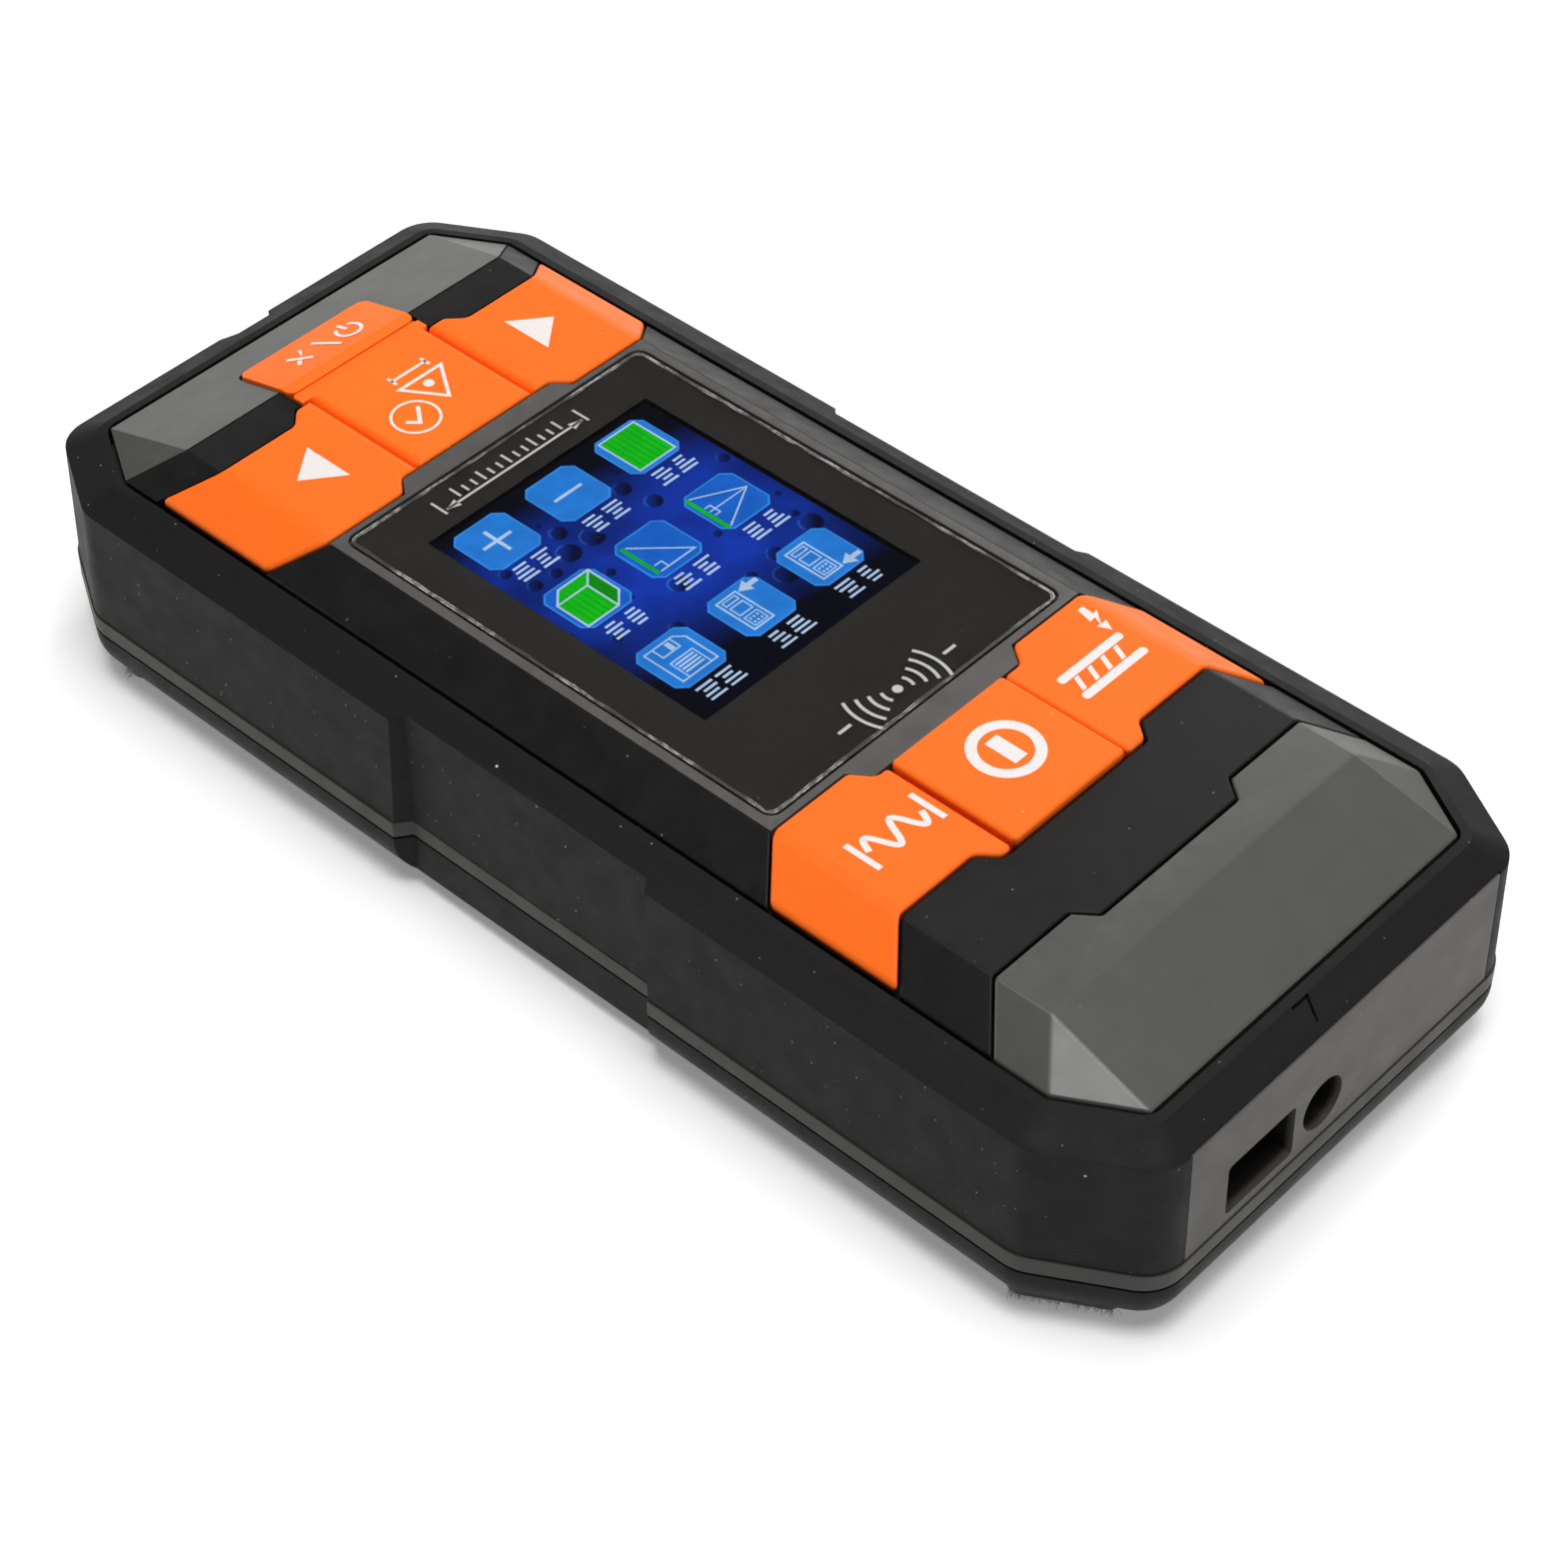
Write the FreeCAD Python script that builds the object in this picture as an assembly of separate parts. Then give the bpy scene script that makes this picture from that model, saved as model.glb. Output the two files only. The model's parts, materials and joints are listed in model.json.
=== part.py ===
"""Hand-held wall detector (stud finder) with a built-in laser distance meter.

The tool lies on its back: the screen faces +Z, the laser leaves through the near end (-Y),
and the far end (+Y) holds the detection coil and the marking notch.
Millimetres. Origin: centre of the footprint, on the surface that the glide pads stand on.
"""
import FreeCAD
import Part
import math
import os

V = FreeCAD.Vector

# ---- driving dimensions ---------------------------------------------------------------
HALF_WIDTH = 30.0          # gray band, the widest section
HALF_LENGTH = 68.0
CHAMFER_NORMAL = (0.863, 0.5055)    # direction that each cut corner faces
CHAMFER_DISTANCE = 54.88            # from the middle of the tool to a cut corner
CORNER_ROUND = 4.5

PAD_HEIGHT = 0.8           # felt glide pads under the shell
SHELL_ROUND = 4.6          # round along the lower edge of the bottom shell
PARTING_Z = 6.4            # bottom shell meets the gray band
PARTING_GAP = 0.25
BAND_TOP_Z = 8.15
WALL_BOTTOM_Z = 8.25       # bumper and end panel stand on the band
WALL_TOP_Z = 21.0          # where the upright wall meets the sloped rim
RIM_Z = 22.75              # inner edge of the rim, and foot of the raised deck
DECK_Z = 25.75             # flat top of the deck
PLATE_BOTTOM_Z = 19.0      # top plate of the upper housing
PLATE_TOP_Z = 20.6

BAND_INSET = 0.0
WALL_INSET = 0.15          # bumper wall at its foot
WALL_TOP_INSET = 0.5       # bumper wall at its top: a slight draft
HOUSING_INSET = 3.1        # outer face of the upper housing behind the bumper
CAVITY_INSET = 4.6         # inner face of the upper housing
DECK_GAP = 0.4             # dark line between rim and deck
FIT = 0.1                  # clearance between moulded parts

WAIST_HALF = 16.0          # grip recess on each long side
WAIST_RAMP = 1.1
WAIST_DEPTH = 1.5

DECK_TOP_X = 20.3          # crease between deck top and its sloped sides
DECK_TOP_Y = 52.2          # crease between deck top and its sloped ends
DECK_INSET = 5.0           # foot of the deck
SIDE_LEAN = 4.0            # how far a seam leans along Y on the sloped side
SEAM = 0.24                # gap between neighbouring deck parts

LENS_X = 19.0
LENS_NEAR_Y = -20.6
LENS_FAR_Y = 31.8
LENS_ROUND = 1.0
LENS_TOP_Z = 25.65
LENS_THICK = 0.8
LENS_GAP = 0.3             # dark line round the lens
GASKET_THICK = 0.4
GASKET_WIDTH = 1.3

KEY_LIFT = 0.3             # keys stand this far above the deck surface
POWER_LIFT = 0.7
KEY_FOOT_INSET = 0.3       # keys stop this far inside the foot of the deck
NEAR_SPLIT = (-7.95, 7.1)  # X of the two gaps beside the power key
NEAR_GAP = 0.4
FAR_SPLIT = 7.5
STRIP_X = (-8.5, 7.7)      # clear key and the strip in front of it
STRIP_END = 58.6
GROOVE_Y = 50.75           # gap between measure key and clear key
KEY_TRAVEL = 0.6
KEY_BOTTOM_Z = 22.2
KEY_WALL = 1.3
STEM_RADIUS = 1.5
MAT_THICK = 0.8

PCB_BOTTOM_Z = 15.2
PCB_THICK = 1.6
SWITCH_HEIGHT = 1.7

LASER_X = -2.9
WINDOW_X = -11.3
APERTURE_Z = 12.15
LASER_HOLE_RADIUS = 2.65
WINDOW_WIDTH = 8.95
WINDOW_HEIGHT = 5.85
PANEL_HALF = 21.0

CASE_POST_X = 20.5
CASE_POST_Y = 50.0
BATTERY = (34.0, 50.0, 8.0)
BATTERY_Y = 3.0

FLOOR_Z = PAD_HEIGHT + 1.8
PCB_TOP_Z = PCB_BOTTOM_Z + PCB_THICK
SWITCH_TOP_Z = PCB_TOP_Z + SWITCH_HEIGHT
FRAME_TOP_Z = LENS_TOP_Z - LENS_THICK - GASKET_THICK

# Seams across the deck: Y on the flanks, Y in the middle, and the X where the step
# between them starts and ends.
SEAM_LENS_NEAR = (-21.8, -23.85, 9.5, 11.0)
SEAM_BAND_NEAR = (-36.1, -38.0, 9.5, 11.0)
SEAM_CAP_NEAR = (-46.15, -48.2, 9.1, 10.7)
SEAM_LENS_FAR = (32.75, 34.45, 9.6, 11.0)
SEAM_BAND_FAR = (47.5, 49.1, 9.6, 11.2)

# Switch positions, one under each key.
KEY_POINTS = {
    "key_live_detect": (-14.0, -30.0),
    "key_power": (0.0, -31.0),
    "key_metal_detect": (14.0, -30.0),
    "key_left": (-14.0, 40.5),
    "key_measure": (0.0, 42.0),
    "key_right": (14.0, 40.5),
    "key_clear": (0.0, 54.0),
}

parts = {}


# ---- shape helpers --------------------------------------------------------------------
def rounded_wire(points, radius, z):
    """Closed wire through plan points, with every corner rounded by the same radius."""
    count = len(points)
    corners = []
    for i in range(count):
        here = V(points[i][0], points[i][1], z)
        before = V(points[i - 1][0], points[i - 1][1], z)
        after = V(points[(i + 1) % count][0], points[(i + 1) % count][1], z)
        to_before = (before - here).normalize()
        to_after = (after - here).normalize()
        half = to_before.getAngle(to_after) / 2.0
        setback = radius / math.tan(half)
        bisector = (to_before + to_after).normalize()
        middle = here + bisector * (radius / math.sin(half) - radius)
        corners.append((here + to_before * setback, middle, here + to_after * setback))
    edges = []
    for i in range(count):
        start, middle, end = corners[i]
        following = corners[(i + 1) % count][0]
        edges.append(Part.Arc(start, middle, end).toShape())
        if (following - end).Length > 1e-6:
            edges.append(Part.LineSegment(end, following).toShape())
    return Part.Wire(edges)


def prism(points, z_low, z_high, radius=0.0):
    """Upright prism over a plan outline, with rounded corners when a radius is given."""
    if radius > 0:
        wire = rounded_wire(points, radius, z_low)
    else:
        corners = [V(x, y, z_low) for x, y in points]
        wire = Part.makePolygon(corners + corners[:1])
    return Part.Face(wire).extrude(V(0, 0, z_high - z_low))


def box(x_low, x_high, y_low, y_high, z_low, z_high):
    return Part.makeBox(x_high - x_low, y_high - y_low, z_high - z_low, V(x_low, y_low, z_low))


def rectangle(x_low, x_high, y_low, y_high):
    return [(x_low, y_low), (x_high, y_low), (x_high, y_high), (x_low, y_high)]


def cylinder(x, y, z_low, z_high, radius):
    return Part.makeCylinder(radius, z_high - z_low, V(x, y, z_low))


def cylinder_y(x, z, y_low, y_high, radius):
    return Part.makeCylinder(radius, y_high - y_low, V(x, y_low, z), V(0, 1, 0))


def octagon(inset):
    """Plan of the tool with its four cut corners, moved inwards by inset."""
    nx, ny = CHAMFER_NORMAL
    half_x = HALF_WIDTH - inset
    half_y = HALF_LENGTH - inset
    reach = CHAMFER_DISTANCE - inset
    side_y = (reach - nx * half_x) / ny
    end_x = (reach - ny * half_y) / nx
    quarter = [(half_x, side_y), (end_x, half_y)]
    left = [(-x, y) for x, y in reversed(quarter)]
    lower = [(-x, -y) for x, y in quarter]
    right = [(x, -y) for x, y in reversed(quarter)]
    return quarter + left + lower + right


def octagon_prism(inset, z_low, z_high):
    return prism(octagon(inset), z_low, z_high, CORNER_ROUND - inset * 0.6)


def tapered_prism(inset_low, z_low, inset_high, z_high):
    radius_low = CORNER_ROUND - inset_low * 0.6
    radius_high = CORNER_ROUND - inset_high * 0.6
    wires = [rounded_wire(octagon(inset_low), radius_low, z_low),
             rounded_wire(octagon(inset_high), radius_high, z_high)]
    return Part.makeLoft(wires, True, True)


def waist_cutters(z_low, z_high, depth=WAIST_DEPTH, slack=0.0):
    """The two grip recesses, as solids to cut away; slack moves their walls outwards."""
    cutters = []
    reach = 3.0
    floor = HALF_WIDTH - depth
    slope = WAIST_RAMP / WAIST_DEPTH
    inner = WAIST_HALF - slope * depth + slack
    outer = inner + slope * (depth + reach)
    for side in (-1, 1):
        outline = [(side * floor, -inner), (side * (floor + depth + reach), -outer),
                   (side * (floor + depth + reach), outer), (side * floor, inner)]
        cutters.append(prism(outline, z_low, z_high))
    return cutters


def cut_all(shape, cutters):
    for cutter in cutters:
        shape = shape.cut(cutter)
    return shape


def join(shapes):
    result = shapes[0]
    for shape in shapes[1:]:
        result = result.fuse(shape)
    return result.removeSplitter()


# ---- case -----------------------------------------------------------------------------
def shell_body(half_width_loss, z_top):
    """Outer form of the bottom shell: upright wall with a rounded lower edge."""
    outline = [(max(-HALF_WIDTH + half_width_loss, min(HALF_WIDTH - half_width_loss, x)), y)
               for x, y in octagon(BAND_INSET)]
    body = prism(outline, PAD_HEIGHT, z_top, CORNER_ROUND)
    lower_edges = [edge for edge in body.Edges
                   if abs(edge.BoundBox.ZMax - PAD_HEIGHT) < 1e-6]
    return body.makeFillet(SHELL_ROUND, lower_edges)


def bottom_shell():
    top = PARTING_Z - PARTING_GAP
    outside = cut_all(shell_body(0.0, top), waist_cutters(0, top + 1))
    outside = join([outside, shell_body(WAIST_DEPTH, top)])
    tongue = octagon_prism(HOUSING_INSET, top, PARTING_Z + 1.0)
    body = join([outside, tongue])
    body = body.cut(octagon_prism(CAVITY_INSET, FLOOR_Z, PARTING_Z + 2.0))
    bay_x, bay_y = BATTERY[0] / 2 + 0.4, BATTERY[1] / 2 + 0.4
    bay = box(-bay_x - 1.2, bay_x + 1.2, BATTERY_Y - bay_y - 1.2, BATTERY_Y + bay_y + 1.2,
              FLOOR_Z, FLOOR_Z + 5.0)
    bay = bay.cut(box(-bay_x, bay_x, BATTERY_Y - bay_y, BATTERY_Y + bay_y, FLOOR_Z, FLOOR_Z + 6))
    posts = [cylinder(x, y, FLOOR_Z - 0.5, 11.9, 3.0) for x, y in case_posts()]
    body = join([body, bay] + posts)
    for x, y in case_posts():
        body = body.cut(cylinder(x, y, 0, 13, 1.3))
        body = body.cut(cylinder(x, y, 0, 4.6, 2.4))
    return body.cut(label_solid(0.0))


def case_posts():
    return [(x, y) for x in (-CASE_POST_X, CASE_POST_X) for y in (-CASE_POST_Y, CASE_POST_Y)]


def label_solid(shrink):
    outline = rectangle(-15 + shrink, 15 - shrink, -20 + shrink, 20 - shrink)
    return prism(outline, PAD_HEIGHT, PAD_HEIGHT + 0.25, 1.5)


def pcb_posts():
    return [(x, y) for x in (-20.0, 20.0) for y in (-39.0, 36.0)]


def apertures(y_low, y_high, grow=0.0):
    """Laser bore and receiver window, as solids to cut away."""
    bore = cylinder_y(LASER_X, APERTURE_Z, y_low, y_high, LASER_HOLE_RADIUS + grow)
    half_w, half_h = WINDOW_WIDTH / 2 + grow, WINDOW_HEIGHT / 2 + grow
    window = box(WINDOW_X - half_w, WINDOW_X + half_w, y_low, y_high,
                 APERTURE_Z - half_h, APERTURE_Z + half_h)
    upright = [edge for edge in window.Edges if edge.BoundBox.YLength > 0.5]
    return [bore, window.makeFillet(0.5, upright)]


def upper_housing():
    band = octagon_prism(BAND_INSET, PARTING_Z, BAND_TOP_Z)
    band = cut_all(band, waist_cutters(PARTING_Z - 1, BAND_TOP_Z + 1))
    wall = octagon_prism(HOUSING_INSET, BAND_TOP_Z, PLATE_TOP_Z)
    body = join([band, wall])
    body = body.cut(octagon_prism(CAVITY_INSET, PARTING_Z, PLATE_BOTTOM_Z))
    body = body.cut(octagon_prism(HOUSING_INSET - FIT, PARTING_Z - 1, PARTING_Z + 1.1))
    bosses = [cylinder(x, y, 12.0, PLATE_BOTTOM_Z + 0.5, 2.8) for x, y in case_posts()]
    bosses += [cylinder(x, y, PCB_TOP_Z, PLATE_BOTTOM_Z + 0.5, 2.2) for x, y in pcb_posts()]
    body = join([body] + bosses)
    for x, y in case_posts():
        body = body.cut(cylinder(x, y, 11, PLATE_BOTTOM_Z - 1, 1.0))
    for x, y in pcb_posts():
        body = body.cut(cylinder(x, y, PCB_TOP_Z - 1, PLATE_BOTTOM_Z, 0.8))
    for x, y in KEY_POINTS.values():
        body = body.cut(cylinder(x, y, PLATE_BOTTOM_Z - 1, PLATE_TOP_Z + 1, STEM_RADIUS + 0.7))
    body = body.cut(box(-9, 9, -20.5, -16.0, PLATE_BOTTOM_Z - 1, PLATE_TOP_Z + 1))
    body = cut_all(body, apertures(-HALF_LENGTH, -HALF_LENGTH + CAVITY_INSET + 1))
    return body.cut(usb_slot(HALF_WIDTH - CAVITY_INSET - 1, HALF_WIDTH, 4.6, 1.7))


def usb_slot(x_low, x_high, half_width, half_height):
    """Flat slot with round ends along X, for the charging socket."""
    straight = half_width - half_height
    y_mid, z_mid = -32.0, PCB_BOTTOM_Z - 1.7
    slot = box(x_low, x_high, y_mid - straight, y_mid + straight,
               z_mid - half_height, z_mid + half_height)
    for end in (-straight, straight):
        slot = slot.fuse(Part.makeCylinder(half_height, x_high - x_low,
                                           V(x_low, y_mid + end, z_mid), V(1, 0, 0)))
    return slot.removeSplitter()


def marking_notch():
    """Shallow notch in the middle of the far end, where the pencil mark goes."""
    edge = HALF_LENGTH
    outline = [(-3.6, edge + 2), (-3.6, edge - WALL_TOP_INSET + 0.1), (-2.0, edge - 1.7),
               (2.0, edge - 1.7), (3.0, edge - WALL_TOP_INSET + 0.1), (3.0, edge + 2)]
    return prism(outline, WALL_BOTTOM_Z + 4.0, RIM_Z + 1)


def aim_mark():
    """Small engraved tick on the near rim, over the laser axis."""
    y_edge = -HALF_LENGTH + 2.6
    bar = [(-2.2, y_edge + 1.0), (-2.2, y_edge + 1.3), (-4.4, y_edge + 1.3), (-4.4, y_edge + 1.0)]
    stroke = [(-2.2, y_edge + 1.3), (-2.55, y_edge + 1.3), (-3.5, y_edge - 0.9), (-3.15, y_edge - 0.9)]
    tick = join([prism(bar, 0, 0.8), prism(stroke, 0, 0.8)])
    tick.rotate(V(0, y_edge, 0), V(1, 0, 0), math.degrees(math.atan2(RIM_Z - WALL_TOP_Z, 4.1)))
    tick.translate(V(0, 0, WALL_TOP_Z + 0.65))
    return tick


def bumper():
    wall = tapered_prism(WALL_INSET, WALL_BOTTOM_Z, WALL_TOP_INSET, WALL_TOP_Z)
    slope = tapered_prism(WALL_TOP_INSET, WALL_TOP_Z, DECK_INSET - DECK_GAP - 0.9, RIM_Z - 0.12)
    lip = tapered_prism(DECK_INSET - DECK_GAP - 0.9, RIM_Z - 0.12, DECK_INSET - DECK_GAP, RIM_Z)
    body = join([wall, slope, lip])
    body = cut_all(body, waist_cutters(WALL_BOTTOM_Z - 1, RIM_Z + 1, WAIST_DEPTH + 0.05, 0.05))
    body = body.cut(octagon_prism(HOUSING_INSET - FIT, WALL_BOTTOM_Z - 1, PLATE_TOP_Z))
    body = body.cut(octagon_prism(DECK_INSET - DECK_GAP, PLATE_TOP_Z - 1, RIM_Z + 1))
    body = body.cut(box(-PANEL_HALF - FIT, PANEL_HALF + FIT, -HALF_LENGTH - 1,
                        -HALF_LENGTH + HOUSING_INSET, WALL_BOTTOM_Z - 1, WALL_TOP_Z + FIT))
    body = body.cut(usb_slot(HALF_WIDTH - HOUSING_INSET, HALF_WIDTH + 2, 6.2, 3.3))
    return cut_all(body, [marking_notch(), aim_mark()])


def end_panel():
    """Hard plastic panel at the laser end, flush with the bumper wall."""
    block = tapered_prism(WALL_INSET, WALL_BOTTOM_Z, WALL_TOP_INSET, WALL_TOP_Z)
    slab = box(-PANEL_HALF, PANEL_HALF, -HALF_LENGTH - 1, -HALF_LENGTH + HOUSING_INSET - FIT,
               WALL_BOTTOM_Z, WALL_TOP_Z)
    return cut_all(block.common(slab), apertures(-HALF_LENGTH - 1, -HALF_LENGTH + 5))


# ---- raised deck ----------------------------------------------------------------------
def deck_solid(lift, z_low):
    """Hipped block: flat top, sloped sides and ends, triangular corner facets."""
    foot = octagon(DECK_INSET)
    foot_top = [V(x, y, RIM_Z + lift) for x, y in foot]
    foot_low = [V(x, y, z_low) for x, y in foot]
    top = [V(sx * DECK_TOP_X, sy * DECK_TOP_Y, DECK_Z + lift)
           for sx, sy in ((1, 1), (-1, 1), (-1, -1), (1, -1))]
    faces = [top, list(reversed(foot_low))]
    for corner in range(4):
        following = (corner + 1) % 4
        hip_a, hip_b = foot_top[2 * corner], foot_top[2 * corner + 1]
        faces.append([top[corner], hip_a, hip_b])
        faces.append([top[corner], hip_b, foot_top[(2 * corner + 2) % 8], top[following]])
    for i in range(8):
        after = (i + 1) % 8
        faces.append([foot_top[i], foot_low[i], foot_low[after], foot_top[after]])
    shell = Part.Shell([Part.Face(Part.makePolygon(f + f[:1])) for f in faces])
    solid = Part.Solid(shell)
    if solid.Volume < 0:
        solid.reverse()
    return solid


def seam_line(seam, lean, shift=0.0):
    """Points of a seam from the left foot to the right foot of the deck."""
    flank, middle, step_in, step_out = seam
    reach = 1.5
    foot_x = HALF_WIDTH - DECK_INSET
    edge_x = foot_x + reach
    edge_y = flank + lean * (edge_x - DECK_TOP_X) / (foot_x - DECK_TOP_X)
    half = [(step_in, middle), (step_out, flank), (DECK_TOP_X, flank), (edge_x, edge_y)]
    left = [(-x, y) for x, y in reversed(half)]
    return [(x, y + shift) for x, y in left + half]


def between(lower, upper):
    return lower + list(reversed(upper))


def inset_region(region, inset):
    """Plan prism of a region, shrunk on all sides."""
    wire = Part.makePolygon([V(x, y, 0) for x, y in region + region[:1]])
    return wire.makeOffset2D(-inset, 2)


def deck_cover(region, lift=0.0, z_low=PLATE_TOP_Z, wall=1.4):
    """Thin moulded cover: the deck surface over a plan region, hollow from below."""
    solid = deck_solid(lift, z_low).common(prism(region, z_low - 1, DECK_Z + 3))
    core_plan = inset_region(region, wall)
    core = Part.Face(core_plan).extrude(V(0, 0, DECK_Z + 6))
    inner = deck_solid(lift - wall, z_low - 3).common(core)
    foot = prism(octagon(DECK_INSET + wall), z_low - 3, DECK_Z + 3)
    return solid.cut(inner.common(foot))


def key_body(name, region, lift=KEY_LIFT):
    cover = deck_cover(region, lift, KEY_BOTTOM_Z, KEY_WALL)
    cover = cover.common(octagon_prism(DECK_INSET + KEY_FOOT_INSET, 0, 60))
    x, y = KEY_POINTS[name]
    roof = deck_solid(lift - KEY_WALL / 2, PLATE_BOTTOM_Z)
    stem = cylinder(x, y, SWITCH_TOP_Z + KEY_TRAVEL + 0.05, DECK_Z + 2, STEM_RADIUS)
    return join([cover, stem.common(roof)])


def clip_x(region, x_low, x_high):
    """Part of a region between two X values, as an outline of its own."""
    wide = prism(region, 0, 1).common(box(x_low, x_high, -90, 90, -1, 2))
    bottom = [face for face in wide.Faces if abs(face.BoundBox.ZMax) < 1e-6][0]
    wire = bottom.OuterWire
    return [(v.X, v.Y) for v in wire.OrderedVertexes]


def near_keys():
    lower = seam_line(SEAM_BAND_NEAR, -SIDE_LEAN, SEAM / 2)
    upper = seam_line(SEAM_LENS_NEAR, -SIDE_LEAN, -SEAM / 2)
    region = between(lower, upper)
    left, right = NEAR_SPLIT
    gap = NEAR_GAP / 2
    parts["key_live_detect"] = key_body("key_live_detect", clip_x(region, -40, left - gap))
    parts["key_power"] = key_body("key_power", clip_x(region, left + gap, right - gap), POWER_LIFT)
    parts["key_metal_detect"] = key_body("key_metal_detect", clip_x(region, right + gap, 40))


def far_keys():
    lower = seam_line(SEAM_LENS_FAR, SIDE_LEAN, SEAM / 2)
    upper = seam_line(SEAM_BAND_FAR, SIDE_LEAN, -SEAM / 2)
    region = between(lower, upper)
    gap = SEAM / 2
    parts["key_left"] = key_body("key_left", clip_x(region, -40, -FAR_SPLIT - gap))
    parts["key_right"] = key_body("key_right", clip_x(region, FAR_SPLIT + gap, 40))
    inner_x = FAR_SPLIT - gap
    step_y = SEAM_BAND_FAR[1] + gap
    near_y = SEAM_LENS_FAR[1] + gap
    far_y = GROOVE_Y - gap
    left, right = STRIP_X
    measure = [(-inner_x, near_y), (inner_x, near_y), (inner_x, step_y), (right, step_y),
               (right, far_y), (left, far_y), (left, step_y), (-inner_x, step_y)]
    parts["key_measure"] = key_body("key_measure", measure)
    clear = prism(rectangle(left, right, GROOVE_Y + gap, STRIP_END), 0, 1, 0.9)
    parts["key_clear"] = clear_key(clear)


def clear_key(plan):
    """Key that folds over the far crease; its outline has rounded corners."""
    outline = Part.Face(Part.Wire(plan.Faces[-1].OuterWire.Edges))
    outline.translate(V(0, 0, -outline.BoundBox.ZMin))
    column = outline.extrude(V(0, 0, DECK_Z + 5))
    core_wire = outline.OuterWire.makeOffset2D(-KEY_WALL)
    core = Part.Face(core_wire).extrude(V(0, 0, DECK_Z + 5))
    outer = deck_solid(KEY_LIFT, KEY_BOTTOM_Z).common(column)
    inner = deck_solid(KEY_LIFT - KEY_WALL, KEY_BOTTOM_Z - 3).common(core)
    x, y = KEY_POINTS["key_clear"]
    stem = cylinder(x, y, SWITCH_TOP_Z + KEY_TRAVEL + 0.05, DECK_Z + 2, STEM_RADIUS)
    roof = deck_solid(KEY_LIFT - KEY_WALL / 2, PLATE_BOTTOM_Z)
    return join([outer.cut(inner), stem.common(roof)])


def fixed_deck():
    gap = SEAM / 2
    cap_line = seam_line(SEAM_CAP_NEAR, -SIDE_LEAN)
    low = -HALF_LENGTH
    near_cap = [(-27, low), (27, low)] + [(x, y - gap) for x, y in reversed(cap_line)]
    parts["near_cap"] = deck_cover(near_cap)
    band_top = seam_line(SEAM_BAND_NEAR, -SIDE_LEAN, -gap)
    parts["near_band"] = deck_cover(between([(x, y + gap) for x, y in cap_line], band_top))

    crease_x, foot_x = DECK_TOP_X, HALF_WIDTH - DECK_INSET
    foot_y = octagon(DECK_INSET)[0][1]
    reach_y = DECK_TOP_Y + (foot_y - DECK_TOP_Y) * (27 - crease_x) / (foot_x - crease_x)
    notch_low, notch_high = STRIP_X[0] - SEAM, STRIP_X[1] + SEAM
    notch_y, notch_corner = STRIP_END + SEAM, 0.9
    crease = [(-27, reach_y), (-crease_x, DECK_TOP_Y), (crease_x, DECK_TOP_Y), (27, reach_y)]
    cap = [(x, y + gap) for x, y in crease] + [(27, HALF_LENGTH), (-27, HALF_LENGTH)]
    notch = prism(rectangle(notch_low, notch_high, 40, notch_y), 0, 60, notch_corner)
    hood = prism(rectangle(notch_low - 1.2, notch_high + 1.2, 40, notch_y + 1.2), 0, 60, notch_corner)
    skirt = deck_solid(0.0, PLATE_TOP_Z).common(prism(cap, 0, 60)).common(hood)
    parts["far_cap"] = join([deck_cover(cap), skirt]).cut(notch)

    band_low = seam_line(SEAM_BAND_FAR, SIDE_LEAN, gap)
    band_up = [(x, y - gap) for x, y in crease]
    band = deck_cover(between(band_low, band_up))
    band_skirt = deck_solid(0.0, PLATE_TOP_Z).common(prism(between(band_low, band_up), 0, 60))
    band = join([band, band_skirt.common(hood)]).cut(notch)
    parts["far_band"] = band


def screen_block():
    """Black frame round the screen, gray bezel on it, lens, gasket and display."""
    lower = seam_line(SEAM_LENS_NEAR, -SIDE_LEAN, SEAM / 2)
    upper = seam_line(SEAM_LENS_FAR, SIDE_LEAN, -SEAM / 2)
    region = between(lower, upper)
    block = deck_solid(0.0, PLATE_TOP_Z).common(prism(region, 0, 60))
    bezel_zone = box(-DECK_TOP_X, DECK_TOP_X, -60, 60, FRAME_TOP_Z, 60)
    pocket = prism(rectangle(-LENS_X - LENS_GAP, LENS_X + LENS_GAP, LENS_NEAR_Y - LENS_GAP,
                             LENS_FAR_Y + LENS_GAP), FRAME_TOP_Z, 60, LENS_ROUND + LENS_GAP)
    parts["screen_bezel"] = block.common(bezel_zone).cut(pocket)
    module = (-17.0, 17.0, -17.5, 29.2)
    hole = box(module[0] - 0.15, module[1] + 0.15, module[2] - 0.15, module[3] + 0.15, 0, 60)
    cable_way = box(-6.3, 6.3, -20.2, module[2], PLATE_TOP_Z - 1, PLATE_TOP_Z + 1.4)
    parts["screen_frame"] = cut_all(block, [bezel_zone, hole, cable_way])
    outline = rectangle(-LENS_X, LENS_X, LENS_NEAR_Y, LENS_FAR_Y)
    lens_low = LENS_TOP_Z - LENS_THICK
    parts["lens_window"] = prism(outline, lens_low, LENS_TOP_Z, LENS_ROUND)
    inner = rectangle(-LENS_X + GASKET_WIDTH, LENS_X - GASKET_WIDTH,
                      LENS_NEAR_Y + GASKET_WIDTH, LENS_FAR_Y - GASKET_WIDTH)
    gasket = prism(outline, FRAME_TOP_Z, lens_low, LENS_ROUND)
    parts["lens_gasket"] = gasket.cut(prism(inner, 0, 60, 0.5))
    panel_low = FRAME_TOP_Z - 0.95
    parts["display_backlight"] = box(*module, PLATE_TOP_Z, panel_low)
    parts["display_panel"] = box(-16.6, 16.6, -14.0, 28.8, panel_low, panel_low + 1.0)
    parts["display_flex"] = display_flex(panel_low)


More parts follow.
